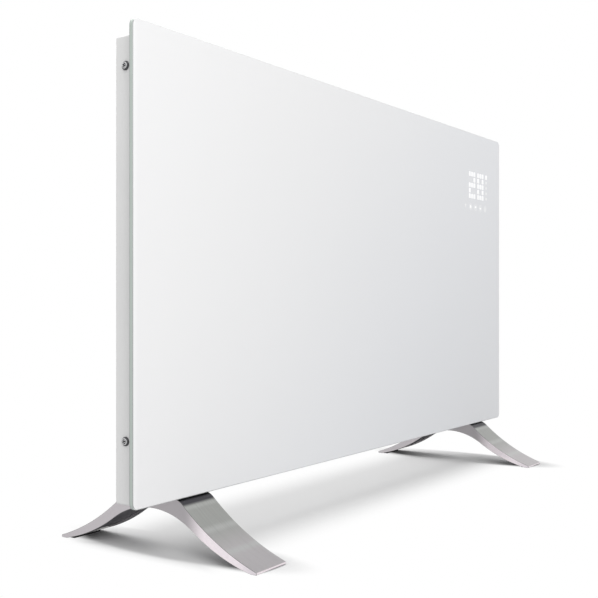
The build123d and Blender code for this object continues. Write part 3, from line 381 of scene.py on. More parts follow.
# %% [markdown]
# ## Finishes
# Each finish starts from what the real surface is. One flat colour would do from afar, but looks
# like nothing from near. A moulded or coated part is nearly one colour, so what makes it real is
# a fine grain in the bump and a slow drift in tone and gloss. Metals get their look from the
# direction of their scratches instead: noise that is stretched along them.

# %% Fine grained surfaces: paint, plastic, rubber, ceramic
PATCHES_PER_METRE = 14.0
SLOW_GLOSS_SWING, FINE_GLOSS_SWING = 0.12, 0.10


def grained(name, colour, roughness, grain, depth_mm, drift=0.03):
    """A nearly even surface with a fine grain and a slow drift in tone and gloss."""
    finish = Finish(name)
    fine = finish.noise(grain, detail=3.0)
    slow = finish.noise(PATCHES_PER_METRE)
    darker, lighter = shade(colour, 1 - drift), shade(colour, 1 + drift)
    gloss = swing(slow, SLOW_GLOSS_SWING) + swing(fine, FINE_GLOSS_SWING)
    finish.give("Base Color", finish.mix(finish.spread(slow, 0.2), darker, lighter))
    finish.give("Roughness", roughness + gloss)
    finish.relief(fine, depth_mm * MM)
    return finish


# %% Metals with a direction
CLOUDS_PER_METRE = 22.0
LINE_GLOSS_SWING, CLOUD_GLOSS_SWING = 0.16, 0.08
SCRATCH_CONTRAST = 0.10
SCRATCH_DEPTH = 0.01 * MM


def scratched(name, colour, roughness, stretch):
    """Metal whose scratches run where the stretch is smallest."""
    finish = Finish(name)
    lines = finish.noise(stretch, detail=4.0, roughness=0.7)
    cloud = finish.noise(CLOUDS_PER_METRE)
    darker, lighter = shade(colour, 1 - SCRATCH_CONTRAST), shade(colour, 1 + SCRATCH_CONTRAST)
    gloss = swing(lines, LINE_GLOSS_SWING) + swing(cloud, CLOUD_GLOSS_SWING)
    finish.give("Base Color", finish.mix(finish.spread(lines, 0.25), darker, lighter))
    finish.give("Metallic", 1.0)
    finish.give("Roughness", roughness + gloss)
    finish.relief(lines, SCRATCH_DEPTH)
    return finish


# %% Zinc coated sheet, with its crystal pattern
CRYSTALS_PER_METRE = 260.0
ZINC_DARK, ZINC_LIGHT = rgb(0.46, 0.47, 0.49), rgb(0.62, 0.63, 0.65)


def zinc_sheet():
    """Bright sheet whose zinc has frozen into small crystals, darker and lighter ones."""
    finish = Finish("zinc_sheet")
    point = finish.node("ShaderNodeTexCoord", {}, {}, "Object")
    crystals = finish.node("ShaderNodeTexVoronoi", {},
                           {"Vector": point, "Scale": CRYSTALS_PER_METRE}, "Color")
    tone = finish.node("ShaderNodeSeparateXYZ", {}, {"Vector": crystals}, "X")
    finish.give("Base Color", finish.mix(tone, ZINC_DARK, ZINC_LIGHT))
    finish.give("Metallic", 1.0)
    finish.give("Roughness", 0.34 + tone * 0.16)
    return finish


# %% Circuit board: solder mask over copper tracks
TRACK_PITCH = 2.54 * MM
HALF_TRACK = 0.16              # as a share of the pitch
TRACK_RELIEF = 0.04 * MM
TRACK_BREAKS = (180.0, 180.0, 90.0)
TRACK_BREAKS_BELOW = 0.46
MASK_OVER_BOARD, MASK_OVER_TRACK = rgb(0.028, 0.135, 0.060), rgb(0.050, 0.215, 0.085)


def board_laminate():
    """Green mask that stands up and lightens over straight tracks, which stop here and there."""
    finish = Finish("board_laminate")
    across = abs((finish.place("X") / TRACK_PITCH).fraction() - 0.5)
    unbroken = finish.noise(TRACK_BREAKS, detail=0.0) > TRACK_BREAKS_BELOW
    track = (across < HALF_TRACK) * unbroken
    finish.give("Base Color", finish.mix(track, MASK_OVER_BOARD, MASK_OVER_TRACK))
    finish.give("Roughness", 0.32)
    finish.relief(track, TRACK_RELIEF)
    return finish


# %% Screw steel: bright in the middle, with painted shade where the head's rim meets the paint and in the recess
DULL_SHADE_FROM, DULL_SHADE_TO = 0.56, 0.80        # values of the head's own "rim" attribute
# Painted shade: a dark ring at the rim and a dark recess.
SCREW_DULL_SHADE = rgb(0.055, 0.055, 0.06)


def screw_steel():
    """Bright zinc, matt and darkened with painted shade at the rim and in the recess."""
    finish = Finish("screw_steel")
    grain = finish.noise(900.0, detail=3.0)
    rim = finish.node("ShaderNodeAttribute", {"attribute_name": "rim"}, {}, "Fac")
    dull_and_shaded = finish.ramp(rim, DULL_SHADE_FROM, DULL_SHADE_TO)
    bright = finish.mix(grain, rgb(0.84, 0.84, 0.85), rgb(0.94, 0.94, 0.95))
    finish.give("Base Color", finish.mix(dull_and_shaded, bright, SCREW_DULL_SHADE))
    finish.give("Metallic", 1 - dull_and_shaded * 0.9)
    finish.give("Roughness", 0.26 + dull_and_shaded * 0.35 + swing(grain, 0.1))
    return finish


# %% Collect the finishes by the record's slot names
GRAINED = {          # colour, roughness, grains per metre, relief in mm, drift in tone
    "foam_tape": (rgb(0.10, 0.10, 0.105), 0.85, 700.0, 0.20),
    "housing_paint": (rgb(0.668, 0.668, 0.664), 0.42, 620.0, 0.06, 0.012),
    "pad_rubber": (rgb(0.035), 0.75, 1500.0, 0.10, 0.10),
    "ceramic": (rgb(0.80, 0.76, 0.68), 0.55, 1100.0, 0.05),
    "moulded_black": (rgb(0.022), 0.50, 1600.0, 0.05, 0.08),
    "moulded_white": (rgb(0.72, 0.71, 0.68), 0.48, 1600.0, 0.05),
    "terminal_green": (rgb(0.04, 0.22, 0.09), 0.50, 1600.0, 0.05),
    "led_package": (rgb(0.85, 0.84, 0.76), 0.25, 1800.0, 0.02),
    "sensing_foam": (rgb(0.07, 0.07, 0.075), 0.90, 1200.0, 0.20),
    "capacitor_sleeve": (rgb(0.03, 0.04, 0.16), 0.22, 400.0, 0.02),
}
SCRATCHED = {        # colour, roughness, scratches per metre along x, y and z
    "fin_aluminium": (rgb(0.62, 0.62, 0.63), 0.36, (30.0, 1400.0, 1400.0)),
    "plated_steel": (rgb(0.52, 0.51, 0.50), 0.25, (60.0, 1200.0, 1200.0)),
    "brass_blades": (rgb(0.70, 0.52, 0.22), 0.30, (60.0, 1200.0, 1200.0)),
}
slot_finishes = {name: grained(name, *values) for name, values in GRAINED.items()}
slot_finishes |= {name: scratched(name, *values) for name, values in SCRATCHED.items()}
slot_finishes |= {"zinc_sheet": zinc_sheet(), "board_laminate": board_laminate(),
                  "screw_steel": screw_steel()}
print(len(slot_finishes), "finishes so far")

# %% [markdown]
# ## Brushed feet
# Each foot is one extruded aluminium profile. Its broad faces are brushed along its length, so
# the scratches run down the slope; its cut sides are smoother and warmer. Two materials could
# tell them apart, but then the engineering solid would need its faces sorted; one material that
# asks which way the surface faces does the same. The tone down the slope and faint lighter bands
# across it are painted reflection. The shoulder under the glass and the hollow underside are dark
# with painted shade; the cut sides and tip ends carry painted light and shade that changes along
# the foot, and the broken edges are darkened with painted shade.

# %% Foot: scratches
FINE_SCRATCHES = (2600.0, 36.0, 36.0)      # features per metre across, along and up
LONG_SCRATCHES = (820.0, 26.0, 26.0)
MILL_MARKS = (300.0, 300.0, 900.0)
FINE_SHARE = 0.45

foot = Finish("foot_aluminium")
along_foot = foot.place("Y")
from_middle = abs(along_foot)
fine_scratches = foot.noise(FINE_SCRATCHES, detail=4.0, roughness=0.75)
long_scratches = foot.noise(LONG_SCRATCHES, detail=3.0, roughness=0.7)
scratches = fine_scratches * FINE_SHARE + long_scratches * (1 - FINE_SHARE)
mill_marks = foot.noise(MILL_MARKS, detail=3.0)
foot_cloud = foot.noise(30.0)
print("foot scratch nodes:", len(foot.tree.nodes))

# %% Foot: brushed upper face
# Painted reflection: the slope is darker and greener high up, lighter and warmer low down.
UPPER_SLOPE = rgb(0.350, 0.356, 0.342)
LOWER_SLOPE = rgb(0.490, 0.468, 0.476)
SLOPE_TURNS_FROM, SLOPE_TURNS_TO = 58 * MM, 98 * MM        # from the foot's middle
# Light scratches and the painted reflection bands both lean towards this tone.
LIGHT_STREAK_AND_SHEEN = rgb(0.52, 0.53, 0.52)
DARK_SCRATCH = shade(UPPER_SLOPE, 0.66)
SCRATCH_STRENGTH = 1.3
# Painted reflection: lighter bands across the slope, at these distances from the middle.
REFLECTION_BANDS = ((42.5 * MM, 3.0 * MM, 0.35), (66.0 * MM, 5.5 * MM, 0.50), (93.0 * MM, 6.0 * MM, 0.75))
# Painted shade: the shoulder under the glass's lower edge is dark.
SHOULDER_SHADE = rgb(0.060, 0.058, 0.066)
SHOULDER_FROM, SHOULDER_TO = 41.5 * MM, 38.5 * MM

streaks_and_bands = swing(scratches, SCRATCH_STRENGTH)
# The painted reflection bands are added to the scratches here.
for distance, half_width, strength in REFLECTION_BANDS:
    streaks_and_bands = streaks_and_bands + foot.band(from_middle, distance, half_width) * strength
slope_share = foot.ramp(from_middle, SLOPE_TURNS_FROM, SLOPE_TURNS_TO)
upper_tone = foot.mix(slope_share, UPPER_SLOPE, LOWER_SLOPE)
upper_tone = foot.mix(streaks_and_bands, upper_tone, LIGHT_STREAK_AND_SHEEN)
upper_tone = foot.mix(swing(scratches, -SCRATCH_STRENGTH), upper_tone, DARK_SCRATCH)
# Painted shade on the shoulder.
upper_tone = foot.mix(foot.ramp(from_middle, SHOULDER_FROM, SHOULDER_TO), upper_tone, SHOULDER_SHADE)
print("reflection bands in mm from the middle:", [round(band[0] / MM, 1) for band in REFLECTION_BANDS])

# %% Foot: cut sides
# Painted light and shade along the cut side: pale on the front leg, dark near the middle under the panel, middling
# on the back leg, a little darker at the front tip.
SIDE_LIT_IN_FRONT = rgb(0.87, 0.80, 0.835)
SIDE_SHADED_BEHIND = rgb(0.385, 0.366, 0.380)
SIDE_BACK_LEG = rgb(0.520, 0.494, 0.512)
SIDE_AT_TIP = rgb(0.72, 0.67, 0.71)
SIDE_LIGHT_CHANGES = (     # where along the foot a change starts and ends, and into which tone
    (-68 * MM, -40 * MM, SIDE_SHADED_BEHIND),
    (-10 * MM, 30 * MM, SIDE_BACK_LEG),
    (-100 * MM, -122 * MM, SIDE_AT_TIP),
)

side_tone_and_light = SIDE_LIT_IN_FRONT
# Painted light and shade along the cut side.
for start, end, tone in SIDE_LIGHT_CHANGES:
    side_tone_and_light = foot.mix(foot.ramp(along_foot, start, end), side_tone_and_light, tone)
side_tone_and_light = foot.mix((mill_marks - 0.4) * 0.35, side_tone_and_light, shade(SIDE_SHADED_BEHIND, 0.9))
print("tones along a cut side:", 1 + len(SIDE_LIGHT_CHANGES))

# %% Foot: underside, ends and broken edges
# Painted shade: the hollow underside is dark.
UNDERSIDE_SHADE = rgb(0.075, 0.071, 0.080)
# Painted shade: the broken edges are darker than the faces.
BROKEN_EDGE_SHADE = shade(UPPER_SLOPE, 0.35)
TIP_END_FROM = 123.5 * MM
SIDEWAYS_FROM, SIDEWAYS_TO = 0.75, 0.90        # how far a face has to look that way to count
DOWNWARDS_FROM, DOWNWARDS_TO = -0.2, -0.5
ENDWAYS_FROM, ENDWAYS_TO = 0.80, 0.92
BROKEN_MIDDLE, BROKEN_HALF_WIDTH = 0.70, 0.22
FOOT_RELIEF = 0.03 * MM

sideways = foot.ramp(abs(foot.facing("X")), SIDEWAYS_FROM, SIDEWAYS_TO)
downwards = foot.ramp(foot.facing("Z"), DOWNWARDS_FROM, DOWNWARDS_TO)
endways = foot.ramp(abs(foot.facing("Y")), ENDWAYS_FROM, ENDWAYS_TO)
tip_end = endways * (from_middle > TIP_END_FROM)
broken_edge = foot.band(abs(foot.facing("X")), BROKEN_MIDDLE, BROKEN_HALF_WIDTH)
# Painted shade on the underside.
foot_tone = foot.mix(downwards, upper_tone, UNDERSIDE_SHADE)
foot_tone = foot.mix(sideways, foot_tone, side_tone_and_light)
# Painted light: the ends of the tips take the pale side tone.
foot_tone = foot.mix(tip_end, foot_tone, SIDE_LIT_IN_FRONT)
# Painted shade on the broken edges.
foot.give("Base Color", foot.mix(broken_edge, foot_tone, BROKEN_EDGE_SHADE))
foot_gloss = swing(scratches, 0.2) + swing(foot_cloud, 0.06)
foot.give("Roughness", 0.36 + downwards * 0.4 - sideways * 0.02 + foot_gloss)
foot.give("Metallic", 1 - downwards * 0.8)
foot.relief(scratches * (1 - sideways) + mill_marks * sideways * 0.3, FOOT_RELIEF)
slot_finishes["foot_aluminium"] = foot
print("foot nodes:", len(foot.tree.nodes))

# %% [markdown]
# ## Glass
# The front is clear glass painted white on its back and ground round its edge. It could be made
# as real clear glass over a painted sheet, but that is slow and noisy, and from the front nothing
# but the paint shows through. So the face is white with a polished surface over it. Its tone has
# painted shading, lighter at the upper right and darker and cooler towards the lower right, and a
# faint random cloud; a painted highlight line lies just inside its ends. The ground edge has the
# glass's own green. Its rear rim is greyer, and its front chamfers are greyer at the ends and
# carry painted light above and below.

# %% Face of the glass
FACE_WHITE = rgb(0.875)
# Painted shade: the face is darker and cooler towards the lower right.
FACE_SHADED_COOL_WHITE = rgb(0.856, 0.868, 0.890)
COOL_SLANT = 0.8
COOL_FROM, COOL_TO = -0.62, 0.12          # metres along x, less the slant's share of z
# Painted shading: the face's tone is lighter at the upper right and darker at the lower right.
FACE_PAINTED_SHADING = 0.065                        # furthest change in tone, either way
DRIFT_MIDDLE_Z = 0.28
DRIFT_PER_METRE, DRIFT_GROWTH = 0.16, 0.36
# Painted highlight: a light line just inside the glass's ends.
PAINTED_HIGHLIGHT = rgb(0.97)
LIGHT_LINE_FROM, LIGHT_LINE_TO = 5.5 * MM, 1.2 * MM        # from the glass's ends
LIGHT_LINE_SHARE = 0.55
CLOUD_TONE_SWING, CLOUD_GLASS_SWING, SPECK_GLASS_SWING = 0.01, 0.04, 0.05

glass_face = Finish("white_glass")
face_x = glass_face.place("X")
face_z = glass_face.place("Z")
face_cloud = glass_face.noise(5.0)
specks = glass_face.noise(1500.0, detail=1.0)
cool = glass_face.ramp(face_x - face_z * COOL_SLANT, COOL_FROM, COOL_TO)
shaded_tone, lit_tone = [
    glass_face.mix(cool, shade(FACE_WHITE, factor), shade(FACE_SHADED_COOL_WHITE, factor))
    for factor in (1 - FACE_PAINTED_SHADING, 1 + FACE_PAINTED_SHADING)]
# Painted shading by place, with a faint random cloud added.
drift = (face_z - DRIFT_MIDDLE_Z) * (DRIFT_PER_METRE + face_x * DRIFT_GROWTH)
drift = drift + swing(face_cloud, CLOUD_TONE_SWING)
face_tone = glass_face.mix(drift / (2 * FACE_PAINTED_SHADING) + 0.5, shaded_tone, lit_tone)
from_end = glass_high.x - abs(face_x)
# Painted highlight line inside the ends.
painted_highlight = glass_face.ramp(from_end, LIGHT_LINE_FROM, LIGHT_LINE_TO, 0.0, LIGHT_LINE_SHARE)
glass_face.give("Base Color", glass_face.mix(painted_highlight, face_tone, PAINTED_HIGHLIGHT))
face_gloss = swing(specks, SPECK_GLASS_SWING) + swing(face_cloud, CLOUD_GLASS_SWING)
glass_face.give("Roughness", 0.15 + face_gloss)
slot_finishes["white_glass"] = glass_face
print("glass face nodes:", len(glass_face.tree.nodes))

# %% Ground edge and painted back of the glass
EDGE_GREEN = rgb(0.42, 0.475, 0.44)
EDGE_GREY = rgb(0.33, 0.345, 0.34)
# Painted light: the front chamfers above and below are lighter.
CHAMFER_PAINTED_LIGHT = rgb(0.70, 0.72, 0.71)
RIM_FROM, RIM_TO = 3.3 * MM, 3.8 * MM                # behind the face
CHAMFER_FROM, CHAMFER_TO = 1.0 * MM, 0.7 * MM
GRINDING = (700.0, 2200.0, 700.0)                    # marks per metre, closest through the edge
GRINDING_RELIEF = 0.04 * MM

glass_edge = Finish("ground_glass_edge")
edge_grain = glass_edge.noise(GRINDING, detail=3.0)
behind_face = glass_edge.place("Y") - glass_low.y
# The edge is greyer towards its rear rim.
rear_rim = glass_edge.ramp(behind_face, RIM_FROM, RIM_TO)
front_chamfer = glass_edge.ramp(behind_face, CHAMFER_FROM, CHAMFER_TO)
up_or_down = glass_edge.ramp(abs(glass_edge.facing("Z")), 0.3, 0.6)
edge_tone = glass_edge.mix(rear_rim + front_chamfer, EDGE_GREEN, EDGE_GREY)
# Painted light on the front chamfers that face up or down.
edge_tone = glass_edge.mix(front_chamfer * up_or_down, edge_tone, CHAMFER_PAINTED_LIGHT)
edge_tone = glass_edge.mix(swing(edge_grain, 0.4), edge_tone, shade(EDGE_GREEN, 1.2))
glass_edge.give("Base Color", edge_tone)
glass_edge.give("Roughness", 0.34 + edge_grain * 0.2)
glass_edge.relief(edge_grain, GRINDING_RELIEF)
glass_back = grained("glass_back_paint", rgb(0.62, 0.62, 0.61), 0.60, 500.0, 0.04)
print("glass edge nodes:", len(glass_edge.tree.nodes))

# %% Give every engineering piece its finish
for part in frame["record"]["subparts"]:
    piece = frame["nodes"][part["node"]]
    piece.data.materials[0] = slot_finishes[part["material_slot"]].material
print(len(frame["nodes"]), "pieces finished")


# %% [markdown]
# ## The glass front again, with real edges
# The engineering solid has the right size, but its edges are knife sharp and a tempered pane's
# are not. A cube with a bevel could stand for it, but would put the same rounding everywhere. So
# the pane is built from one rounded outline, repeated at four depths, and a small bevel rounds
# the lines between face, chamfers and edge. The three surfaces get their own finishes.

# %% Outline helpers
def new_piece(name, mesh, materials=()):
    """Puts a mesh in the scene at the origin with its materials."""
    for material in materials:
        mesh.materials.append(material)
    piece = bpy.data.objects.new(name, mesh)
    bpy.context.scene.collection.objects.link(piece)
    return piece


def mesh_of(form, name):
    """Ends a mesh in the making and returns it as a plain mesh."""
    mesh = bpy.data.meshes.new(name)
    form.to_mesh(mesh)
    form.free()
    return mesh


def rounded_outline(half_width, half_height, radius, steps):
    """Points of a rounded rectangle round the origin, anticlockwise."""
    points = []
    for quarter, (sx, sz) in enumerate(((1, 1), (-1, 1), (-1, -1), (1, -1))):
        centre_x = sx * (half_width - radius)
        centre_z = sz * (half_height - radius)
        for step in range(steps + 1):
            turn = math.pi / 2 * (quarter + step / steps)
            points.append((centre_x + radius * math.cos(turn), centre_z + radius * math.sin(turn)))
    return points


# %% Build the pane
PANE_RADIUS = 6.5 * MM
PANE_CHAMFER = 0.8 * MM
PANE_CORNER_STEPS = 14
MARK_PROUD = 0.04 * MM         # the lit marks stand this far in front of the face
FACE, EDGE, BACK = 0, 1, 2     # material numbers

pane_middle = (glass_low + glass_high) / 2
pane_half = (glass_high - glass_low) / 2
face_y = glass_low.y + MARK_PROUD
back_y = glass_high.y
pane = bmesh.new()
rings = []
for inset, depth in ((PANE_CHAMFER, face_y), (0, face_y + PANE_CHAMFER), (0, back_y - PANE_CHAMFER),
                     (PANE_CHAMFER, back_y)):
    outline = rounded_outline(pane_half.x - inset, pane_half.z - inset, PANE_RADIUS - inset,
                              PANE_CORNER_STEPS)
    rings.append([pane.verts.new((pane_middle.x + x, depth, pane_middle.z + z)) for x, z in outline])
pane.faces.new(rings[0]).material_index = FACE
pane.faces.new(list(reversed(rings[-1]))).material_index = BACK
count = len(rings[0])
for near, far in zip(rings, rings[1:]):
    for i in range(count):
        j = (i + 1) % count
        band = pane.faces.new((near[i], far[i], far[j], near[j]))
        band.material_index = EDGE
        band.smooth = True
bmesh.ops.recalc_face_normals(pane, faces=pane.faces)
glass_pane = new_piece("glass_pane", mesh_of(pane, "glass_pane"),
                       [glass_face.material, glass_edge.material, glass_back.material])
print("pane points per ring:", count)

# %% Round its lines and let it stand for the glass
LINE_ROUNDING = 0.18 * MM
ROUNDING_STEPS = 2
SHARP_FROM = math.radians(25)

rounding = glass_pane.modifiers.new("edge_rounding", "BEVEL")
rounding.width = LINE_ROUNDING
rounding.segments = ROUNDING_STEPS
rounding.limit_method = "ANGLE"
rounding.angle_limit = SHARP_FROM
rounding.harden_normals = True
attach(glass_pane, "heater")
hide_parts("front_glass")
print("line rounding in mm:", LINE_ROUNDING / MM)

# %% [markdown]
# ## Light through the glass
# Behind the glass a light mask lets each lamp show as a small square. Squares could be drawn one
# by one, but repeating is work for Geometry Nodes: one tree takes a cloud of points and puts a
# flat window on each, with the window's sizes as inputs. The figures are patterns of three
# columns and five rows, so a change of figure is a change of text.

# %% Finishes of lit and printed marks
LIT_GLOW = 0.42
# Painted light: a faint glow on marks that are unlit.
UNLIT_PAINTED_GLOW = 0.14
TOUCH_GLOW = 0.42
MARK_GRAIN = 900.0

lit = Finish("lit_window")
lit_grain = lit.noise(MARK_GRAIN, detail=1.0)
lit.give("Base Color", lit.mix(lit_grain, rgb(0.72), rgb(0.78)))
lit.give("Emission Color", lit.mix(lit_grain, rgb(0.94, 0.96, 0.97), rgb(1.0)))
lit.give("Emission Strength", LIT_GLOW)
lit.give("Roughness", 0.35)


def dim_mark(name, glow):
    """A mark that is only a little brighter than the glass round it, with a glow of its own; on unlit marks that
    glow is painted light.
    """
    finish = Finish(name)
    grain = finish.noise(MARK_GRAIN, detail=1.0)
    finish.give("Base Color", finish.mix(grain, shade(FACE_WHITE, 1.04), shade(FACE_WHITE, 1.07)))
    finish.give("Emission Color", finish.mix(grain, rgb(0.9), rgb(1.0)))
    finish.give("Emission Strength", glow)
    finish.give("Roughness", 0.25)
    return finish


unlit = dim_mark("unlit_indicator", UNLIT_PAINTED_GLOW)
touch_glow = dim_mark("touch_mark", TOUCH_GLOW)
print("mark finishes:", [finish.material.name for finish in (lit, unlit, touch_glow)])


# %% One way to start, end and run a geometry tree
def geometry_tree(name, number_inputs):
    """A geometry tree that takes points and the named numbers. Returns it and their identifiers."""
    tree = bpy.data.node_groups.new(name, "GeometryNodeTree")
    tree.interface.new_socket(name="Points", in_out="INPUT", socket_type="NodeSocketGeometry")
    sockets = [tree.interface.new_socket(name=label, in_out="INPUT", socket_type="NodeSocketFloat")
               for label in number_inputs]
    tree.interface.new_socket(name="Pieces", in_out="OUTPUT", socket_type="NodeSocketGeometry")
    return Nodes(tree), [socket.identifier for socket in sockets]


def finish_tree(nodes, instances, material):
    """Makes the instances real, gives them their material and ends the tree."""
    real = nodes.node("GeometryNodeRealizeInstances", {}, {"Geometry": instances})
    finished = nodes.node("GeometryNodeSetMaterial", {}, {"Geometry": real, "Material": material})
    nodes.node("NodeGroupOutput", {}, {"Pieces": finished})


def run_tree(name, points_mesh, nodes, values):
    """Runs a tree on the points of a mesh and returns the result as a plain mesh object."""
    carrier = new_piece(name + "_points", points_mesh)
    modifier = carrier.modifiers.new("nodes", "NODES")
    modifier.node_group = nodes.tree
    for identifier, value in values.items():
        modifier[identifier] = value
    depsgraph = bpy.context.evaluated_depsgraph_get()
    mesh = bpy.data.meshes.new_from_object(carrier.evaluated_get(depsgraph))
    carrier.modifiers.remove(modifier)
    bpy.data.objects.remove(carrier)
    return new_piece(name, mesh)


# %% The tree that puts a window on every point
def window_tree(material):
    """A flat window, as wide, thick and high as its inputs say, on every point."""
    labels = ("Window Width", "Window Thickness", "Window Height")
    nodes, size_inputs = geometry_tree("windows_on_points", labels)
    width, thickness, height = [nodes.node("NodeGroupInput", {}, {}, label) for label in labels]
    size = nodes.node("ShaderNodeCombineXYZ", {}, {"X": width, "Y": thickness, "Z": height})
    window = nodes.node("GeometryNodeMeshCube", {}, {"Size": size}, "Mesh")
    points = nodes.node("NodeGroupInput", {}, {}, "Points")
    placed = nodes.node("GeometryNodeInstanceOnPoints", {}, {"Points": points, "Instance": window})
    finish_tree(nodes, placed, material)
    return nodes, size_inputs


# %% Figures, degree mark and indicators
BLOCK_PITCH = 8.3 * MM
BLOCK_WIDTH = 5.7 * MM
BLOCK_HEIGHT = 6.5 * MM
DIGIT_PITCH = 30.7 * MM
DEGREE_OFFSET = 37.2 * MM
INDICATOR_SIZE = 3.6 * MM
MIDDLE_COLUMN, MIDDLE_ROW = 1, 2
FIGURE_ROWS = {"2": ("###", "..#", "###", "#..", "###"), "8": ("###", "#.#", "###", "#.#", "###")}
display_x = glass_high.x - 89.8 * MM
display_z = glass_low.z + 359.6 * MM
mark_y = (glass_low.y + face_y) / 2


def block_place(middle_x, column, row):
    """Place of a block, counted in columns and rows from the middle of its figure."""
    return (middle_x + column * BLOCK_PITCH, mark_y, display_z + row * BLOCK_PITCH)


def figure_points(figure, middle_x):
    """Places of the lit blocks of one figure, read from its five rows."""
    return [block_place(middle_x, column - MIDDLE_COLUMN, MIDDLE_ROW - row)
            for row, cells in enumerate(FIGURE_ROWS[figure])
            for column, cell in enumerate(cells) if cell == "#"]


degree_x = display_x + DEGREE_OFFSET
lit_points = figure_points("2", display_x - DIGIT_PITCH / 2)
lit_points += figure_points("8", display_x + DIGIT_PITCH / 2)
lit_points.append(block_place(degree_x, 0, MIDDLE_ROW))
unlit_points = [block_place(degree_x, 0, row) for row in range(-MIDDLE_ROW, MIDDLE_ROW)]
for name, points, finish, width, height in (
        ("lit_figures", lit_points, lit, BLOCK_WIDTH, BLOCK_HEIGHT),
        ("dim_indicators", unlit_points, unlit, INDICATOR_SIZE, INDICATOR_SIZE)):
    points_mesh = bpy.data.meshes.new(name + "_points")
    points_mesh.from_pydata(points, [], [])
    nodes, size_inputs = window_tree(finish.material)
    sizes = dict(zip(size_inputs, (width, MARK_PROUD, height)))
    windows = run_tree(name, points_mesh, nodes, sizes)
    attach(windows, "heater")
    print(name, len(points), "windows")


# %% [markdown]
# ## Touch marks
# Under the figures a row of five small marks shows where to press. They are plain signs: a
# stroke under a bar, a full disc in a ring, an arrow up, an arrow down and a ring with a stroke.
# Letters of a font could stand for some, but not for all, so each is put together from flat bars
# and rings, which are then thickened and stood on the face.

# %% Bars and rings that lie flat on a plane
def add_face(sheet, points):
    """Adds one flat face in the sheet's own plane."""
    sheet.faces.new([sheet.verts.new((point.x, point.y, 0)) for point in points])


def bar(sheet, start, end, width):
    """A straight stroke from start to end."""
    a, b = Vector(start), Vector(end)
    side = (b - a).normalized().orthogonal() * width / 2
    add_face(sheet, [a + side, a - side, b - side, b + side])


def ring(sheet, centre, outer, inner, turns=32):
    """A flat ring, or a disc where the inner radius is zero."""
    middle = Vector(centre)
    around = [Vector((math.cos(math.tau * i / turns), math.sin(math.tau * i / turns)))
              for i in range(turns)]
    if inner <= 0:
        add_face(sheet, [middle + outer * way for way in around])
        return
    for near, far in zip(around, around[1:] + around[:1]):
        add_face(sheet, [middle + outer * near, middle + outer * far, middle + inner * far,
                         middle + inner * near])


def raised_piece(name, sheet, plane, height, finish, body):
    """Thickens flat marks, stands them on a plane and makes them ride on a body."""
    bmesh.ops.remove_doubles(sheet, verts=sheet.verts, dist=0.001 * MM)
    grown = bmesh.ops.extrude_face_region(sheet, geom=list(sheet.faces))
    for vert in [item for item in grown["geom"] if isinstance(item, bmesh.types.BMVert)]:
        vert.co.z += height
    bmesh.ops.recalc_face_normals(sheet, faces=sheet.faces)
    bmesh.ops.transform(sheet, matrix=plane, verts=sheet.verts)
    piece = new_piece(name, mesh_of(sheet, name), [finish.material])
    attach(piece, body)
    print(name, len(piece.data.polygons), "faces")


# %% Put the five marks together
TOUCH_PITCH = 17.9 * MM
TOUCH_RADIUS = 4.6 * MM
STROKE = 0.7 * MM
DISC_SHARE = 0.46              # of the ring's radius
touch_x = glass_high.x - 92.4 * MM
touch_z = glass_low.z + 327.0 * MM
bar_x, disc_x, up_x, down_x, knob_x = [touch_x + step * TOUCH_PITCH for step in range(-2, 3)]


def spot(middle_x, right, up):
    """A place so many millimetres to the right of and above the middle of a mark."""
    return (middle_x + right * MM, touch_z + up * MM)


rings_and_bars = bmesh.new()
bar(rings_and_bars, spot(bar_x, 0, -2.6), spot(bar_x, 0, 0.9), 2 * STROKE)
bar(rings_and_bars, spot(bar_x, -2.4, 1.7), spot(bar_x, 2.4, 1.7), 1.6 * MM)
for middle_x in (disc_x, up_x, down_x, knob_x):
    ring(rings_and_bars, spot(middle_x, 0, 0), TOUCH_RADIUS, TOUCH_RADIUS - STROKE)
bar(rings_and_bars, spot(knob_x, 0, 0.4), spot(knob_x, 0, 3.0), 1.5 * STROKE)
ring(rings_and_bars, spot(knob_x, 0, -0.6), 2.5 * MM, 1.2 * MM)
bright_signs = bmesh.new()
ring(bright_signs, spot(disc_x, 0, 0), TOUCH_RADIUS * DISC_SHARE, 0)
for middle_x, way in ((up_x, 1), (down_x, -1)):
    for side in (-1, 1):
        bar(bright_signs, spot(middle_x, 0, way * 1.3), spot(middle_x, side * 1.8, way * -0.8),
            2.3 * STROKE)
front_plane = Matrix.Translation((0, face_y, 0)) @ Matrix.Rotation(math.radians(90), 4, "X")
raised_piece("touch_marks", rings_and_bars, front_plane, MARK_PROUD, unlit, "heater")
raised_piece("touch_marks_bright", bright_signs, front_plane, MARK_PROUD, touch_glow, "heater")

# %% [markdown]
# ## Pan head screws
# The cover's screws are small but they are the only fasteners in view, so their heads get a real
# dome and a tapered cross recess. One head is turned from a profile, as on a lathe, and a cross
# of two blades is cut from it; drawing the recess face by face would take longer. Then Geometry
# Nodes put the screw on each place, turned the way that place needs.

# %% A screw turned from its profile
HEAD_RADIUS = 4.2 * MM
HEAD_HEIGHT = 2.8 * MM
HEAD_ROUNDING = 0.25 * MM
SHANK_RADIUS = 2.0 * MM
SHANK_LENGTH = 9.0 * MM
SHANK_POINT = 0.6 * MM
POINT_SHARE = 0.7              # of the shank's radius at its very end
TURNS = 40
DOME_STEPS = 7
DOME_FOOT = 0.22               # share of the head's height under the dome
DOME_ARC = 0.82                # share of a quarter circle that the dome follows


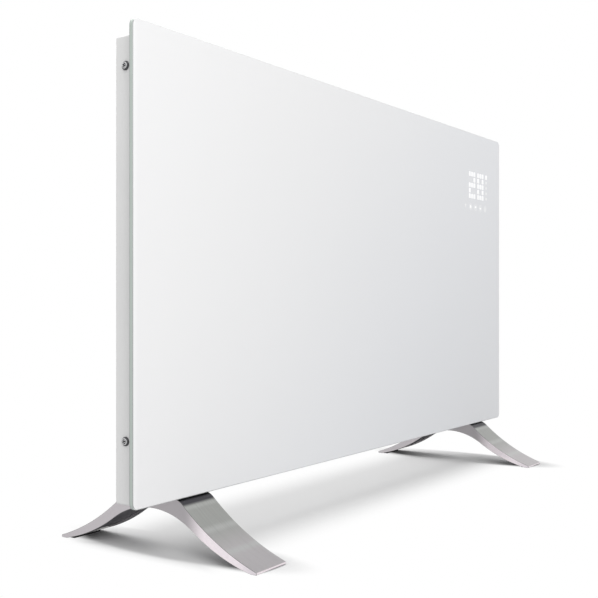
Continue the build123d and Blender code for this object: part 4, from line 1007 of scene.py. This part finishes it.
def turned(name, profile, turns):
    """Closed solid of revolution round Z from a list of (radius, height) pairs."""
    form = bmesh.new()
    loops = []
    for radius, height in profile:
        loops.append([form.verts.new((radius * math.cos(math.tau * i / turns),
                                      radius * math.sin(math.tau * i / turns), height))
                      for i in range(turns)])
    for low, high in zip(loops, loops[1:]):
        for i in range(turns):
            j = (i + 1) % turns
            form.faces.new((low[i], low[j], high[j], high[i]))
    form.faces.new(loops[0])
    form.faces.new(loops[-1])
    bmesh.ops.recalc_face_normals(form, faces=form.faces)
    return mesh_of(form, name)


dome = []
for step in range(DOME_STEPS + 1):
    turn = math.pi / 2 * DOME_ARC * step / DOME_STEPS
    rise = math.sin(turn) / math.sin(math.pi / 2 * DOME_ARC)
    dome.append((HEAD_RADIUS * math.cos(turn), HEAD_HEIGHT * (DOME_FOOT + (1 - DOME_FOOT) * rise)))
screw_profile = [(SHANK_RADIUS * POINT_SHARE, -SHANK_LENGTH),
                 (SHANK_RADIUS, SHANK_POINT - SHANK_LENGTH), (SHANK_RADIUS, 0.0),
                 (HEAD_RADIUS - HEAD_ROUNDING, 0.0), (HEAD_RADIUS, HEAD_ROUNDING)] + dome
screw_form = new_piece("screw_form", turned("screw_form", screw_profile, TURNS))
print("screw profile points:", len(screw_profile))

# %% Cross recess
RECESS_DEPTH = 1.9 * MM
RECESS_REACH = 2.4 * MM
RECESS_HALF_WIDTH = 0.62 * MM
BLADE_BOTTOM, BLADE_TOP = 0.9 * MM, 3.2 * MM       # radii; a blade tapers towards its bottom
BLADE_LENGTH = RECESS_DEPTH + 1.0 * MM
head_top = HEAD_HEIGHT

cutter = bmesh.new()
for turn in (0, 90):
    blade = bmesh.ops.create_cone(cutter, cap_ends=True, segments=4, radius1=BLADE_BOTTOM,
                                  radius2=BLADE_TOP, depth=BLADE_LENGTH)["verts"]
    bmesh.ops.rotate(cutter, verts=blade, matrix=Matrix.Rotation(math.radians(45), 3, "Z"))
    for vert in blade:
        vert.co.y = max(-RECESS_HALF_WIDTH, min(RECESS_HALF_WIDTH, vert.co.y))
        vert.co.z += head_top - RECESS_DEPTH + BLADE_LENGTH / 2
    bmesh.ops.rotate(cutter, verts=blade, matrix=Matrix.Rotation(math.radians(turn), 3, "Z"))
bmesh.ops.recalc_face_normals(cutter, faces=cutter.faces)
cross_cutter = new_piece("cross_cutter", mesh_of(cutter, "cross_cutter"))
cut = screw_form.modifiers.new("recess", "BOOLEAN")
cut.operation = "DIFFERENCE"
cut.solver = "EXACT"
cut.use_self = True
cut.object = cross_cutter
depsgraph = bpy.context.evaluated_depsgraph_get()
screw_mesh = bpy.data.meshes.new_from_object(screw_form.evaluated_get(depsgraph))
bpy.data.objects.remove(screw_form)
bpy.data.objects.remove(cross_cutter)
print("screw faces:", len(screw_mesh.polygons))

# %% Smooth its faces and mark its rim and recess for the finish
SCREW_SHARP_FROM = math.radians(32)
RIM_IN_RECESS = 0.9
RECESS_BELOW_TOP = 0.05 * MM

screw_mesh.polygons.foreach_set("use_smooth", [True] * len(screw_mesh.polygons))
screw_mesh.set_sharp_from_angle(angle=SCREW_SHARP_FROM)
rim = screw_mesh.attributes.new("rim", "FLOAT", "POINT")
for index, vert in enumerate(screw_mesh.vertices):
    from_axis = vert.co.xy.length
    in_recess = vert.co.z < head_top - RECESS_BELOW_TOP and from_axis < RECESS_REACH
    rim.data[index].value = RIM_IN_RECESS if in_recess else from_axis / HEAD_RADIUS
master_screw = new_piece("master_screw", screw_mesh, [slot_finishes["screw_steel"].material])
print("screw points:", len(screw_mesh.vertices))


# %% The tree that puts a screw on every point
def screw_tree(screw, material):
    """The screw on every point, turned by the point's own "turn" attribute."""
    nodes, number_inputs = geometry_tree("screws_on_points", ("Screw Scale",))
    source = nodes.node("GeometryNodeObjectInfo", {}, {"Object": screw}, "Geometry")
    turn = nodes.node("GeometryNodeInputNamedAttribute", {"data_type": "FLOAT_VECTOR"},
                      {"Name": "turn"}, "Attribute")
    points = nodes.node("NodeGroupInput", {}, {}, "Points")
    scale = nodes.node("NodeGroupInput", {}, {}, "Screw Scale")
    placed = nodes.node("GeometryNodeInstanceOnPoints", {}, {"Points": points, "Instance": source,
                                                             "Rotation": turn, "Scale": scale})
    finish_tree(nodes, placed, material)
    return nodes, number_inputs


def place_screws(name, node, places):
    """Screws on (point, axis, turn of the recess) places, standing for one engineering node."""
    points_mesh = bpy.data.meshes.new(name + "_points")
    points_mesh.from_pydata([point for point, axis, angle in places], [], [])
    turns = points_mesh.attributes.new("turn", "FLOAT_VECTOR", "POINT")
    for index, (point, axis, angle) in enumerate(places):
        aim = Vector(axis).to_track_quat("Z", "Y").to_matrix() @ Matrix.Rotation(angle, 3, "Z")
        turns.data[index].vector = aim.to_euler()
    nodes, number_inputs = screw_tree(master_screw, slot_finishes["screw_steel"].material)
    screws = run_tree(name, points_mesh, nodes, {number_inputs[0]: 1.0})
    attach(screws, "heater")
    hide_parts(node)
    print(name, len(places))


# %% Put the screws in their places
SIDE_SCREW_TURNS = (20, 65, 38, 8)         # degrees; a fitter leaves each recess as it comes
EDGE_SCREW_TURN, EDGE_SCREW_STEP = 25, 30
BOTTOM_REACH = 0.6                         # the lower screws' reach as a share of the upper ones'

side_low, side_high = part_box("cover_side_screws")
edge_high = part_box("cover_edge_screws")[1]
cover_low, cover_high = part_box("rear_cover")
screw_y = (side_low.y + side_high.y) / 2
head_seat_x = side_high.x - HEAD_HEIGHT
side_corners = [(way, height) for way in (-1, 1)
                for height in (side_low.z + HEAD_RADIUS, side_high.z - HEAD_RADIUS)]
side_places = [((way * head_seat_x, screw_y, height), (way, 0, 0), math.radians(turn))
               for (way, height), turn in zip(side_corners, SIDE_SCREW_TURNS)]
place_screws("side_screws", "cover_side_screws", side_places)
edge_reach = edge_high.x - HEAD_RADIUS
edge_places = [((step * reach, screw_y, height), (0, 0, way),
                math.radians(EDGE_SCREW_TURN + EDGE_SCREW_STEP * step))
               for way, height, reach in ((1, cover_high.z, edge_reach),
                                          (-1, cover_low.z, edge_reach * BOTTOM_REACH))
               for step in (-1, 0, 1)]
place_screws("edge_screws", "cover_edge_screws", edge_places)
bpy.data.objects.remove(master_screw)

# %% [markdown]
# ## Marks on the rocker
# A rocker switch carries the two plain signs for on and off, and they turn with it. They could be
# painted by the material, but a thin raised print keeps its shape in every export. The upper half
# is upright while the switch is on; the lower half slants out by twice the face's angle. Each
# sign stands on its own half, so the two need two planes.

# %% On and off signs
UPPER_SLANT, LOWER_SLANT = 0.0, math.radians(20)
CROWN_ANGLE = (UPPER_SLANT + LOWER_SLANT) / 2
CROWN_RADIUS = 3.2 * MM        # from the pivot to the line where the two halves meet
SIGN_FROM_CROWN = 4.4 * MM
SIGN_HALF = 1.6 * MM
OFF_STROKE = 0.6 * MM
SIGN_HEIGHT = 0.08 * MM

rocker_joint = next(joint for joint in frame["joints"] if joint["name"] == "switch_rocker_turn")
crown = (Vector(rocker_joint["pos_m"])
         + Vector((math.cos(CROWN_ANGLE), 0, math.sin(CROWN_ANGLE))) * CROWN_RADIUS)
rocker_ink = grained("rocker_ink", rgb(0.80), 0.45, 1500.0, 0.01)


def rocker_plane(slant, along):
    """Plane on the rocker's face: x to the back, y up the half's slope, z outwards."""
    up = Vector((-math.sin(slant), 0, math.cos(slant)))
    out = Vector((math.cos(slant), 0, math.sin(slant)))
    back = Vector((0, 1, 0))
    plane = Matrix((back, up, out)).transposed().to_4x4()
    plane.translation = crown + up * along
    return plane


on_sign = bmesh.new()
bar(on_sign, (0, -SIGN_HALF), (0, SIGN_HALF), STROKE)
raised_piece("rocker_on_sign", on_sign, rocker_plane(UPPER_SLANT, SIGN_FROM_CROWN), SIGN_HEIGHT,
             rocker_ink, "switch_rocker")
off_sign = bmesh.new()
ring(off_sign, (0, 0), SIGN_HALF, SIGN_HALF - OFF_STROKE)
raised_piece("rocker_off_sign", off_sign, rocker_plane(LOWER_SLANT, -SIGN_FROM_CROWN), SIGN_HEIGHT,
             rocker_ink, "switch_rocker")
